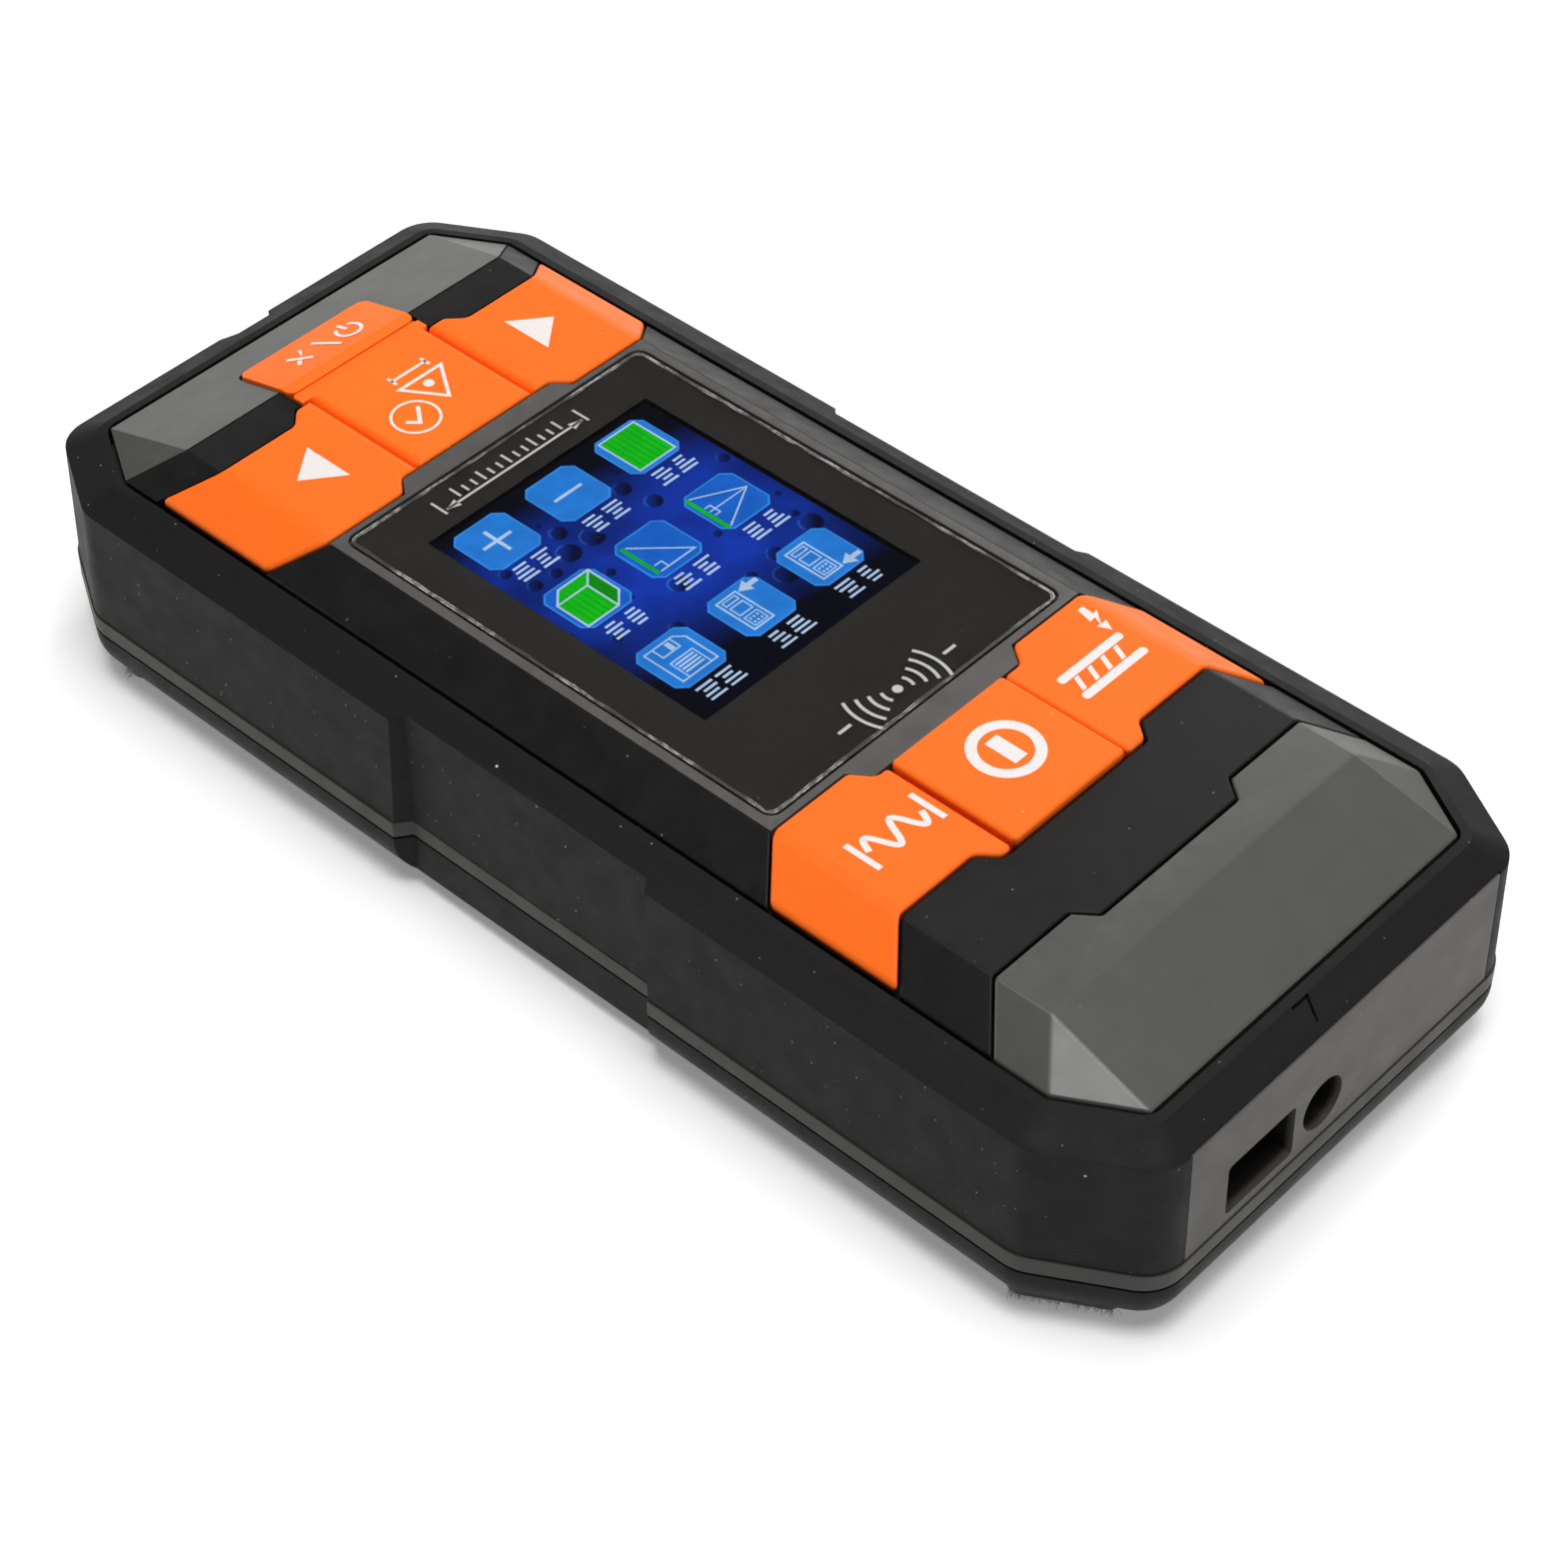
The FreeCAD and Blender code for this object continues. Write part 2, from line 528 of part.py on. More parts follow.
def display_flex(panel_low):
    """Flat cable: from under the display, down through the slot, back to the board."""
    thin, width = 0.2, 12.0
    start = V(-width / 2, -17.7, PLATE_TOP_Z + 1.0)
    path = [start, V(-width / 2, -19.4, PLATE_TOP_Z + 1.0), V(-width / 2, -19.4, PCB_TOP_Z),
            V(-width / 2, -13.0, PCB_TOP_Z)]
    offsets = [V(0, 0, -thin), V(0, thin, -thin), V(0, thin, thin), V(0, 0, thin)]
    inner = [point + offset for point, offset in zip(path, offsets)]
    loop = path + list(reversed(inner))
    return Part.Face(Part.makePolygon(loop + loop[:1])).extrude(V(width, 0, 0))


def key_mats():
    """Silicone sheets that carry the keys, with a hole for each stem."""
    plans = {"near_key_mat": (-35.7, -24.5), "far_key_mat": (35.5, 47.0)}
    for name, (y_low, y_high) in plans.items():
        sheet = prism(rectangle(-22.5, 22.5, y_low, y_high), PLATE_TOP_Z, PLATE_TOP_Z + MAT_THICK, 1.0)
        if name == "far_key_mat":
            tab = prism(rectangle(-7.0, 7.0, 44.0, 57.5), PLATE_TOP_Z, PLATE_TOP_Z + MAT_THICK, 1.0)
            sheet = join([sheet, tab])
        for x, y in KEY_POINTS.values():
            sheet = sheet.cut(cylinder(x, y, PLATE_TOP_Z - 1, PLATE_TOP_Z + 2, STEM_RADIUS + 0.3))
        parts[name] = sheet


# ---- inside ---------------------------------------------------------------------------
def electronics():
    board = join([box(-23, 23, -42, 44, PCB_BOTTOM_Z, PCB_TOP_Z),
                  box(-15, 15, 43, 58, PCB_BOTTOM_Z, PCB_TOP_Z)])
    for x, y in pcb_posts():
        board = board.cut(cylinder(x, y, 0, 30, 1.1))
    parts["main_board"] = board
    switches = [join([box(x - 2.6, x + 2.6, y - 2.6, y + 2.6, PCB_TOP_Z, SWITCH_TOP_Z - 0.5),
                      cylinder(x, y, SWITCH_TOP_Z - 0.5, SWITCH_TOP_Z, 1.2)])
                for x, y in KEY_POINTS.values()]
    parts["tact_switches"] = Part.makeCompound(switches)
    chips = [(0.0, 20.0, 10.0, 10.0, 1.2), (-14.0, 5.0, 7.0, 7.0, 1.0), (13.0, 12.0, 5.0, 4.0, 1.0),
             (12.0, -8.0, 4.0, 6.0, 1.4), (-12.0, -14.0, 5.0, 5.0, 1.0)]
    parts["board_chips"] = Part.makeCompound(
        [box(x - w / 2, x + w / 2, y - l / 2, y + l / 2, PCB_BOTTOM_Z - h, PCB_BOTTOM_Z)
         for x, y, w, l, h in chips])
    can = box(-9, 9, 33, 46, PCB_BOTTOM_Z - 2.4, PCB_BOTTOM_Z)
    parts["shield_can"] = can.cut(box(-8.7, 8.7, 33.3, 45.7, PCB_BOTTOM_Z - 2.1, PCB_BOTTOM_Z))
    x, y = -14.0, 39.4
    buzzer = cylinder(x, y, PCB_BOTTOM_Z - 4.2, PCB_BOTTOM_Z, 4.5)
    parts["buzzer"] = buzzer.cut(cylinder(x, y, PCB_BOTTOM_Z - 5, PCB_BOTTOM_Z - 3.4, 1.0))
    socket = usb_slot(19.5, HALF_WIDTH - HOUSING_INSET - 0.05, 4.5, 1.6)
    hollow = usb_slot(20.5, HALF_WIDTH, 4.2, 1.3)
    tongue = box(20.5, 25.5, -35.2, -28.8, PCB_BOTTOM_Z - 2.0, PCB_BOTTOM_Z - 1.4)
    parts["usb_socket"] = join([socket.cut(hollow), tongue])
    board_screws = []
    for x, y in pcb_posts():
        shank = cylinder(x, y, PCB_BOTTOM_Z - 0.4, PCB_TOP_Z + 1.8, 0.75)
        board_screws.append(join([cylinder(x, y, PCB_BOTTOM_Z - 1.2, PCB_BOTTOM_Z, 1.9), shank]))
    parts["board_screws"] = Part.makeCompound(board_screws)


def power_pack():
    width, length, height = BATTERY
    foam_top = FLOOR_Z + 0.8
    y_low, y_high = BATTERY_Y - length / 2, BATTERY_Y + length / 2
    parts["battery_foam"] = box(-15, 15, y_low + 2, y_high - 2, FLOOR_Z, foam_top)
    cell = box(-width / 2, width / 2, y_low, y_high, foam_top, foam_top + height)
    long_edges = [edge for edge in cell.Edges if edge.BoundBox.YLength > 40]
    parts["battery_cell"] = cell.makeFillet(2.5, long_edges)
    plug = box(15.0, 20.0, 28.5, 33.5, PCB_BOTTOM_Z - 3.0, PCB_BOTTOM_Z)
    parts["battery_plug"] = plug
    leads = []
    for x in (16.4, 18.6):
        start = V(x - 4.4, y_high + 0.5, foam_top + 5.0)
        turn = V(x, y_high + 3.0, foam_top + 5.0)
        leads.append(bent_wire([start, turn, V(x, y_high + 3.0, PCB_BOTTOM_Z - 3.0)], 0.5))
    parts["battery_leads"] = Part.makeCompound(leads)


def bent_wire(points, radius):
    """Round wire along two straight runs joined by one arc."""
    first, corner, last = points
    back = (first - corner).normalize()
    ahead = (last - corner).normalize()
    bend = 0.45 * min((first - corner).Length, (last - corner).Length)
    start, end = corner + back * bend, corner + ahead * bend
    half = back.getAngle(ahead) / 2
    arc_radius = bend * math.tan(half)
    bisector = (back + ahead).normalize()
    middle = corner + bisector * (arc_radius / math.sin(half) - arc_radius)
    path = Part.Wire([Part.LineSegment(first, start).toShape(),
                      Part.Arc(start, middle, end).toShape(),
                      Part.LineSegment(end, last).toShape()])
    circle = Part.Wire([Part.Circle(first, (corner - first).normalize(), radius).toShape()])
    return path.makePipeShell([circle], True, False)


def optics():
    """Laser and receiver behind the end panel."""
    front = -HALF_LENGTH + CAVITY_INSET
    back = -46.0
    block = box(-16.8, 3.2, front, back, 8.6, 16.0)
    block = block.cut(cylinder_y(LASER_X, APERTURE_Z, front - 1, back + 1, 3.4))
    block = block.cut(box(WINDOW_X - 4.8, WINDOW_X + 4.8, front - 1, front + 4, 8.95, 15.35))
    funnel = Part.makeLoft([frame_at(front + 4, 4.2, 2.7), frame_at(back, 1.8, 1.8)], True, True)
    parts["optics_bench"] = block.cut(funnel)
    lens_block = box(WINDOW_X - 4.7, WINDOW_X + 4.7, front + 0.8, front + 3.9, 9.05, 15.25)
    bulge = Part.makeSphere(11.0, V(WINDOW_X, front + 12.2, APERTURE_Z))
    parts["receiver_lens"] = lens_block.common(bulge)
    barrel = cylinder_y(LASER_X, APERTURE_Z, front + 0.1, back - 0.2, 3.35)
    parts["laser_barrel"] = barrel.cut(cylinder_y(LASER_X, APERTURE_Z, front - 1, back + 1, 2.5))
    disc = cylinder_y(LASER_X, APERTURE_Z, front + 0.7, front + 3.2, 2.45)
    dome = Part.makeSphere(5.0, V(LASER_X, front + 6.0, APERTURE_Z))
    parts["collimator_lens"] = disc.common(dome)
    can = cylinder_y(LASER_X, APERTURE_Z, back - 6.0, back - 2.4, 1.8)
    base = cylinder_y(LASER_X, APERTURE_Z, back - 2.4, back - 1.0, 2.45)
    pins = [cylinder_y(LASER_X + dx, APERTURE_Z, back - 1.2, back + 3.0, 0.25) for dx in (-0.9, 0.9)]
    parts["laser_diode"] = join([can, base] + pins)
    board = box(-16.8, -5.5, back, back + 1.2, 8.6, 14.8)
    chip = box(WINDOW_X - 1.5, WINDOW_X + 1.5, back - 1.0, back, APERTURE_Z - 1.5, APERTURE_Z + 1.5)
    parts["detector_board"] = join([board, chip])


def frame_at(y, half_w, half_h):
    corners = [V(WINDOW_X + sx * half_w, y, APERTURE_Z + sz * half_h)
               for sx, sz in ((-1, -1), (1, -1), (1, 1), (-1, 1))]
    return Part.makePolygon(corners + corners[:1])


def detection_head():
    """Sensor board with the metal-sensing coil, on the floor of the far end."""
    board_top = FLOOR_Z + 1.2
    parts["sensor_board"] = box(-16, 16, 36, 62, FLOOR_Z, board_top)
    ring = cylinder(0, 49, board_top, board_top + 2.6, 12.0)
    parts["sensor_coil"] = ring.cut(cylinder(0, 49, board_top - 1, board_top + 4, 8.5))
    plates = [box(x - 1.6, x + 1.6, 38, 60, board_top, board_top + 0.3) for x in (-14.2, 14.2)]
    parts["sensor_plates"] = Part.makeCompound(plates)


def fasteners_and_feet():
    screws = []
    for x, y in case_posts():
        head = cylinder(x, y, 3.0, 4.6, 2.1)
        slot = [box(x - 1.3, x + 1.3, y - 0.3, y + 0.3, 2.9, 3.7),
                box(x - 0.3, x + 0.3, y - 1.3, y + 1.3, 2.9, 3.7)]
        screws.append(cut_all(join([head, cylinder(x, y, 4.0, 17.0, 0.95)]), slot))
    parts["case_screws"] = Part.makeCompound(screws)
    shell = shell_body(0.0, PARTING_Z)
    pads = []
    for sx in (-1, 1):
        for sy in (-1, 1):
            outline = [(sx * 28.2, sy * 55.2), (sx * 23.2, sy * 63.8), (sx * 17.6, sy * 60.4),
                       (sx * 22.6, sy * 51.8)]
            if sx * sy < 0:
                outline.reverse()
            pad = prism(outline, 0, PAD_HEIGHT + 1.2, 1.4).cut(shell)
            pads.append(pad)
    for x, y in case_posts():
        pads = [pad.cut(cylinder(x, y, -1, 5, 2.9)) for pad in pads]
    parts["glide_pads"] = Part.makeCompound(pads)
    parts["underside_label"] = label_solid(0.3)


def main():
    os.makedirs("parts", exist_ok=True)
    parts["bottom_shell"] = bottom_shell()
    parts["upper_housing"] = upper_housing()
    parts["bumper"] = bumper()
    parts["end_panel"] = end_panel()
    near_keys()
    far_keys()
    fixed_deck()
    screen_block()
    key_mats()
    electronics()
    power_pack()
    optics()
    detection_head()
    fasteners_and_feet()
    for name, shape in parts.items():
        shape.exportStep(os.path.join("parts", name + ".step"))
        size = shape.BoundBox
        print(name, len(shape.Solids), shape.isValid(), round(shape.Volume, 1),
              [round(v, 2) for v in (size.XMin, size.XMax, size.YMin, size.YMax, size.ZMin, size.ZMax)])


main()
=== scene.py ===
"""Looks of the wall detector with laser distance meter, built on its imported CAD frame.

Metres. +Z out of the screen, +Y from the laser end to the detection end.
"""
import json
import math
import random

import bmesh
import bpy
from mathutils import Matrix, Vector


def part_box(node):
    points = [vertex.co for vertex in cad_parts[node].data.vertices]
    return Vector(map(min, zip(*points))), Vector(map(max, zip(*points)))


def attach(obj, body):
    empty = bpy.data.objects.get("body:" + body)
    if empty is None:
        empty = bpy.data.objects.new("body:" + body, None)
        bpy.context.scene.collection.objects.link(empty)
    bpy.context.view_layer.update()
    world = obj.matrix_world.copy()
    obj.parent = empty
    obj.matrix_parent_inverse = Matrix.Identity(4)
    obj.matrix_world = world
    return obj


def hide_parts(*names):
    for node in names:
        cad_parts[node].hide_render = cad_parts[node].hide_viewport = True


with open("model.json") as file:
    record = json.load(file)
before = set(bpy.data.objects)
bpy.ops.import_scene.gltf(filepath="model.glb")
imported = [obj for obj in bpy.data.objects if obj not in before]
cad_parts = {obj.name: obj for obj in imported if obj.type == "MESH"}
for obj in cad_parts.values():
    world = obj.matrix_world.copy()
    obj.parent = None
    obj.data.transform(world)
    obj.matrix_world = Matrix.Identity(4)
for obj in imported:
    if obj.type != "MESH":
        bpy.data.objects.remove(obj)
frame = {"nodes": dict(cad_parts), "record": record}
NODES = frame["nodes"]
BODY_OF = {node: body for body, nodes in frame["record"]["behaviour"]["bodies"].items() for node in nodes}
SLOT_OF = {part["node"]: part["material_slot"] for part in frame["record"]["subparts"]}
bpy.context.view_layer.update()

MM = 0.001
KEYS = [node for node in NODES if node.startswith("key_")]

# ---- places and sizes: some read from the frame, the rest given -------------------------
DECK_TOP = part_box("near_band")[1].z
LENS_LOW, LENS_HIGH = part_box("lens_window")
SCREEN_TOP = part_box("display_panel")[1].z
SCREEN_SIZE = Vector((28.2, 34.4)) * MM
SCREEN_COLUMNS, SCREEN_ROWS = 128, 160
SCREEN_MIDDLE = Vector((0.1, 9.0)) * MM
FLANK_X = 20.3 * MM          # crease between the flat deck and its flanks
FAR_CREASE_Y = 52.2 * MM
FAR_SPLIT_X = 7.5 * MM       # slit between the measure key and the keys beside it
NEAR_SPLITS_X = (("left", -7.95 * MM), ("right", 7.1 * MM))
GROOVE_Y = 50.75 * MM        # slit between the measure key and the clear key

TILE_PITCH = Vector((9.13, 11.55)) * MM
TILE_SIZE = 6.5 * MM
TILE_MIDDLE_X = -0.1 * MM
TILE_TOP_ROW = 13.35 * MM    # above the middle of the screen
LABEL_DROP = 4.87 * MM       # caption under its tile

SHARP = math.radians(14)     # an edge that turns more than this is rounded
PRINT_THICK = 0.025 * MM
PRINT_CLEAR = 0.008 * MM
PRINT_ROOM = PRINT_THICK + PRINT_CLEAR + 0.007 * MM

WORLD_HORIZON, WORLD_TOP = 0.62, 0.05

random.seed(7)


def srgb(red, green, blue):
    """Linear colour from the usual 0 to 255 values."""
    linear = []
    for value in (red, green, blue):
        share = value / 255
        linear.append(share / 12.92 if share <= 0.04045 else ((share + 0.055) / 1.055) ** 2.4)
    return (*linear, 1.0)


def shade(color, factor):
    return (*(min(1.0, channel * factor) for channel in color[:3]), 1.0)


# ---- materials --------------------------------------------------------------------------
class Nodes:
    """A material under construction: short calls that add and link shader nodes."""

    def __init__(self, name):
        self.material = bpy.data.materials.new(name)
        self.material.use_nodes = True
        self.tree = self.material.node_tree
        self.surface = self.tree.nodes["Principled BSDF"]
        self.output = self.tree.nodes["Material Output"]
        self.place = self.add("ShaderNodeTexCoord").outputs["Object"]

    def add(self, kind, **values):
        node = self.tree.nodes.new(kind)
        for key, value in values.items():
            setattr(node, key, value)
        return node

    def link(self, source, target):
        self.tree.links.new(source, target)

    def axes(self, vector=None):
        """X, Y and Z of a vector, or of the object's own coordinates."""
        node = self.add("ShaderNodeSeparateXYZ")
        self.link(vector or self.place, node.inputs["Vector"])
        return node.outputs

    def noise(self, size, detail=2.0, rough=0.5, place=None):
        """Noise with features of this size in metres."""
        node = self.add("ShaderNodeTexNoise")
        node.inputs["Scale"].default_value = 1.0 / size
        node.inputs["Detail"].default_value = detail
        node.inputs["Roughness"].default_value = rough
        self.link(place or self.place, node.inputs["Vector"])
        return node.outputs["Fac"]

    def cells(self, size, feature="F1"):
        node = self.add("ShaderNodeTexVoronoi", feature=feature)
        node.inputs["Scale"].default_value = 1.0 / size
        self.link(self.place, node.inputs["Vector"])
        return node

    def math(self, operation, first, second=None, clamp=False):
        node = self.add("ShaderNodeMath", operation=operation, use_clamp=clamp)
        for socket, value in zip(node.inputs, (first, second)):
            if value is None:
                continue
            if isinstance(value, (int, float)):
                socket.default_value = value
            else:
                self.link(value, socket)
        return node.outputs["Value"]

    def span(self, value, low, high, to_low, to_high):
        """Map a value from one range to another, clamped."""
        node = self.add("ShaderNodeMapRange")
        for socket, number in zip(node.inputs[1:5], (low, high, to_low, to_high)):
            socket.default_value = number
        self.link(value, node.inputs["Value"])
        return node.outputs["Result"]

    def mix(self, share, first, second):
        node = self.add("ShaderNodeMix", data_type="RGBA")
        for socket, value in ((node.inputs["Factor"], share), (node.inputs["A"], first),
                              (node.inputs["B"], second)):
            if isinstance(value, (int, float, tuple)):
                socket.default_value = value
            else:
                self.link(value, socket)
        return node.outputs["Result"]

    def bump(self, height, depth, strength=1.0, below=None):
        node = self.add("ShaderNodeBump")
        node.inputs["Strength"].default_value = strength
        node.inputs["Distance"].default_value = depth
        self.link(height, node.inputs["Height"])
        if below:
            self.link(below, node.inputs["Normal"])
        return node.outputs["Normal"]

    def set(self, **values):
        for key, value in values.items():
            self.surface.inputs[key.replace("_", " ")].default_value = value

    def join(self, **sockets):
        for key, source in sockets.items():
            self.link(source, self.surface.inputs[key.replace("_", " ")])


def specks(nodes, spacing, reach, share):
    """Sparse round dust specks of uneven brightness: up to 1 on a speck, 0 elsewhere."""
    cells = nodes.cells(spacing)
    near = nodes.span(cells.outputs["Distance"], reach * 0.6, reach, 1.0, 0.0)
    channels = nodes.add("ShaderNodeSeparateColor")
    nodes.link(cells.outputs["Color"], channels.inputs["Color"])
    chosen = nodes.math("LESS_THAN", channels.outputs["Red"], share)
    bright = nodes.math("POWER", channels.outputs["Green"], 1.6)
    return nodes.math("MULTIPLY", near, nodes.math("MULTIPLY", chosen, bright))


def moulded(name, color, rough, grain=0.35 * MM, depth=0.012 * MM, tint=0.10, dust=0.0,
            dust_color=(0.30, 0.29, 0.28, 1.0), wear=0.25, gloss=0.3, metallic=0.0, pocket_shade_y=None,
            vary=0.06):
    """Moulded plastic or rubber: fine texture, cloudy tone, lighter edges and dust specks.

    The pocket argument is the y of an outer face: the walls of holes sunk behind it get painted shade, darker
    with depth.
    """
    nodes = Nodes(name)
    nodes.set(Specular_IOR_Level=gloss, Metallic=metallic)
    cloud = nodes.noise(14 * MM, 3.0)
    tone = nodes.mix(nodes.span(cloud, 0.35, 0.65, 0.0, 1.0), shade(color, 1 - tint), shade(color, 1 + tint))
    edge = nodes.add("ShaderNodeNewGeometry").outputs["Pointiness"]
    worn = nodes.span(edge, 0.52, 0.60, 0.0, wear)
    scuffed = nodes.math("MULTIPLY", worn, nodes.span(nodes.noise(1.5 * MM), 0.4, 0.6, 0.4, 1.0))
    tone = nodes.mix(scuffed, tone, shade(color, 1.9))
    if dust > 0:
        tone = nodes.mix(specks(nodes, 1.2 * MM, 0.085, dust), tone, dust_color)
        tone = nodes.mix(specks(nodes, 4.1 * MM, 0.04, dust), tone, shade(dust_color, 2.2))
    # painted shade: pocket walls turn towards black the deeper they sit behind the outer face
    if pocket_shade_y is not None:
        inside = nodes.span(nodes.axes()["Y"], pocket_shade_y + 0.42 * MM, pocket_shade_y + 0.95 * MM, 0.0, 0.92)
        tone = nodes.mix(inside, tone, srgb(10, 10, 10))
    fine = nodes.noise(grain, 3.0, 0.6)
    nodes.join(Base_Color=tone, Normal=nodes.bump(fine, depth),
               Roughness=nodes.span(nodes.noise(3 * MM, 4.0), 0.3, 0.7, rough - vary, rough + vary))
    return nodes.material


def metal(name, color, rough, stretch=(1.0, 40.0, 1.0)):
    """Drawn or turned metal with fine lines across the stretched axis."""
    nodes = Nodes(name)
    mapping = nodes.add("ShaderNodeMapping")
    mapping.inputs["Scale"].default_value = stretch
    nodes.link(nodes.place, mapping.inputs["Vector"])
    lines = nodes.noise(2 * MM, 4.0, 0.6, mapping.outputs["Vector"])
    nodes.set(Metallic=1.0)
    nodes.join(Base_Color=nodes.mix(lines, shade(color, 0.75), shade(color, 1.1)),
               Roughness=nodes.span(lines, 0.3, 0.7, rough - 0.08, rough + 0.1),
               Normal=nodes.bump(lines, 0.004 * MM))
    return nodes.material


def printed(name, color, rough=0.45, gloss=0.4):
    """Screen-printed ink: nearly even, with tiny pinholes."""
    nodes = Nodes(name)
    patchy = nodes.span(nodes.noise(0.18 * MM, 2.0), 0.30, 0.42, 0.0, 1.0)
    nodes.set(Roughness=rough, Specular_IOR_Level=gloss)
    nodes.join(Base_Color=nodes.mix(patchy, shade(color, 0.86), color))
    return nodes.material


def lit(name, color, strength=1.0, stripes=0.0):
    """Lit screen graphics, broken into the screen's own dots; stripes darken every third column."""
    nodes = Nodes(name)
    dots = dot_grid(nodes)
    cloud = nodes.span(nodes.noise(2.5 * MM, 2.0), 0.35, 0.65, 0.0, 1.0)
    even = nodes.mix(cloud, shade(color, 0.88), shade(color, 1.1))
    if stripes > 0:
        columns = nodes.math("MULTIPLY", nodes.axes()["X"], SCREEN_COLUMNS / 3 / SCREEN_SIZE.x)
        cell = nodes.math("FRACT", columns)
        even = nodes.mix(nodes.math("MULTIPLY", nodes.math("LESS_THAN", cell, 0.4), stripes), even,
                         shade(color, 0.45))
    nodes.set(Base_Color=(0.0, 0.0, 0.0, 1.0), Roughness=0.6, Specular_IOR_Level=0.0,
              Emission_Strength=strength)
    nodes.join(Emission_Color=nodes.mix(dots, shade(color, 0.5), even))
    return nodes.material


def dot_grid(nodes):
    """1 inside a screen dot, 0 on the dark lines between the dots."""
    axes = nodes.axes()
    inside = []
    for axis, size, count in (("X", SCREEN_SIZE.x, SCREEN_COLUMNS), ("Y", SCREEN_SIZE.y, SCREEN_ROWS)):
        cell = nodes.math("FRACT", nodes.math("MULTIPLY", axes[axis], count / size))
        inside.append(nodes.math("GREATER_THAN", cell, 0.26))
    return nodes.math("MULTIPLY", *inside)


def wallpaper():
    """Blue screen background: bright across the middle, near-black ends, and water drops."""
    nodes = Nodes("screen_wallpaper")
    drop_cell = 3.3 * MM
    axes = nodes.axes()
    across = nodes.math("DIVIDE", nodes.math("ABSOLUTE", axes["X"]), SCREEN_SIZE.x / 2)
    along = nodes.math("DIVIDE", nodes.math("SUBTRACT", axes["Y"], SCREEN_MIDDLE.y), SCREEN_SIZE.y / 2)
    tilt = nodes.math("ADD", along, nodes.math("MULTIPLY", axes["X"], 0.10 / (SCREEN_SIZE.x / 2)))
    low_end = nodes.span(tilt, -0.72, -0.22, 0.0, 1.0)
    high_end = nodes.span(tilt, 0.42, 0.86, 1.0, 0.0)
    sides = nodes.span(across, 0.75, 1.0, 1.0, 0.6)
    streak = nodes.span(nodes.noise(7 * MM, 2.0), 0.32, 0.62, 0.5, 1.0)
    glow = nodes.math("MULTIPLY", nodes.math("MULTIPLY", low_end, high_end),
                      nodes.math("MULTIPLY", sides, streak))
    base = nodes.mix(glow, srgb(1, 2, 16), srgb(20, 62, 190))

    drops = nodes.cells(drop_cell)
    drops.voronoi_dimensions = "2D"
    channels = nodes.add("ShaderNodeSeparateColor")
    nodes.link(drops.outputs["Color"], channels.inputs["Color"])
    middle = nodes.axes(drops.outputs["Position"])
    reach = nodes.span(channels.outputs["Green"], 0.2, 1.0, 0.0, 0.42)
    depth = nodes.math("SUBTRACT", reach, drops.outputs["Distance"])
    inside = nodes.span(depth, 0.0, 0.05, 0.0, 1.0)
    left_by = nodes.math("SUBTRACT", middle["X"], axes["X"])
    up_by = nodes.math("SUBTRACT", axes["Y"], middle["Y"])
    lean = nodes.math("DIVIDE", nodes.math("ADD", left_by, up_by), drop_cell)
    body = nodes.span(lean, -0.2, 0.25, 0.9, 0.3)
    color = nodes.mix(nodes.math("MULTIPLY", inside, body), base, srgb(0, 2, 22))
    rim = nodes.math("MULTIPLY", inside, nodes.span(depth, 0.05, 0.11, 1.0, 0.0))
    glint = nodes.math("MULTIPLY", nodes.math("MULTIPLY", rim, nodes.span(lean, 0.12, 0.32, 0.0, 0.7)), glow)
    color = nodes.mix(glint, color, srgb(60, 130, 235))
    dots = nodes.math("MULTIPLY", nodes.math("SUBTRACT", 1.0, dot_grid(nodes)), 0.5)
    nodes.set(Base_Color=(0.0, 0.0, 0.0, 1.0), Roughness=0.6, Specular_IOR_Level=0.0,
              Emission_Strength=1.1)
    nodes.join(Emission_Color=nodes.mix(dots, color, srgb(0, 2, 14)))
    return nodes.material


def lens_clear():
    """Clear acrylic with faint wipe marks in its roughness."""
    nodes = Nodes("lens_acrylic")
    smear = nodes.noise(9 * MM, 4.0, 0.6)
    nodes.set(Base_Color=(0.97, 0.97, 0.98, 1.0), IOR=1.49, Transmission_Weight=1.0)
    nodes.join(Roughness=nodes.span(smear, 0.35, 0.75, 0.0, 0.004))
    return nodes.material


def lens_edge_glints(name, dull, bright, start):
    """Edge of the lens or of its film: painted glints, broken bright base colour on a dull line."""
    nodes = Nodes(name)
    long_runs = nodes.span(nodes.noise(6.0 * MM, 2.0), start, start + 0.12, 0.0, 1.0)
    glint_breaks = nodes.span(nodes.noise(0.8 * MM, 3.0, 0.7), 0.42, 0.58, 0.1, 1.0)
    broken = nodes.math("MULTIPLY", long_runs, glint_breaks)
    nodes.set(Roughness=0.35)
    nodes.join(Base_Color=nodes.mix(broken, dull, bright),
               Normal=nodes.bump(nodes.noise(0.2 * MM), 0.05 * MM))
    return nodes.material


def felt_material():
    nodes = Nodes("pressed_felt")
    fibre = nodes.noise(0.25 * MM, 6.0, 0.75)
    nodes.set(Roughness=0.95, Sheen_Weight=0.35, Sheen_Roughness=0.5)
    nodes.join(Base_Color=nodes.mix(fibre, srgb(52, 51, 50), srgb(128, 126, 124)),
               Normal=nodes.bump(fibre, 0.12 * MM))
    return nodes.material


def optic_glass():
    nodes = Nodes("coated_optic")
    nodes.set(Base_Color=(0.75, 0.82, 0.95, 1.0), IOR=1.6, Transmission_Weight=0.85, Coat_Weight=0.5)
    nodes.join(Roughness=nodes.span(nodes.noise(2 * MM), 0.3, 0.7, 0.01, 0.05))
    return nodes.material


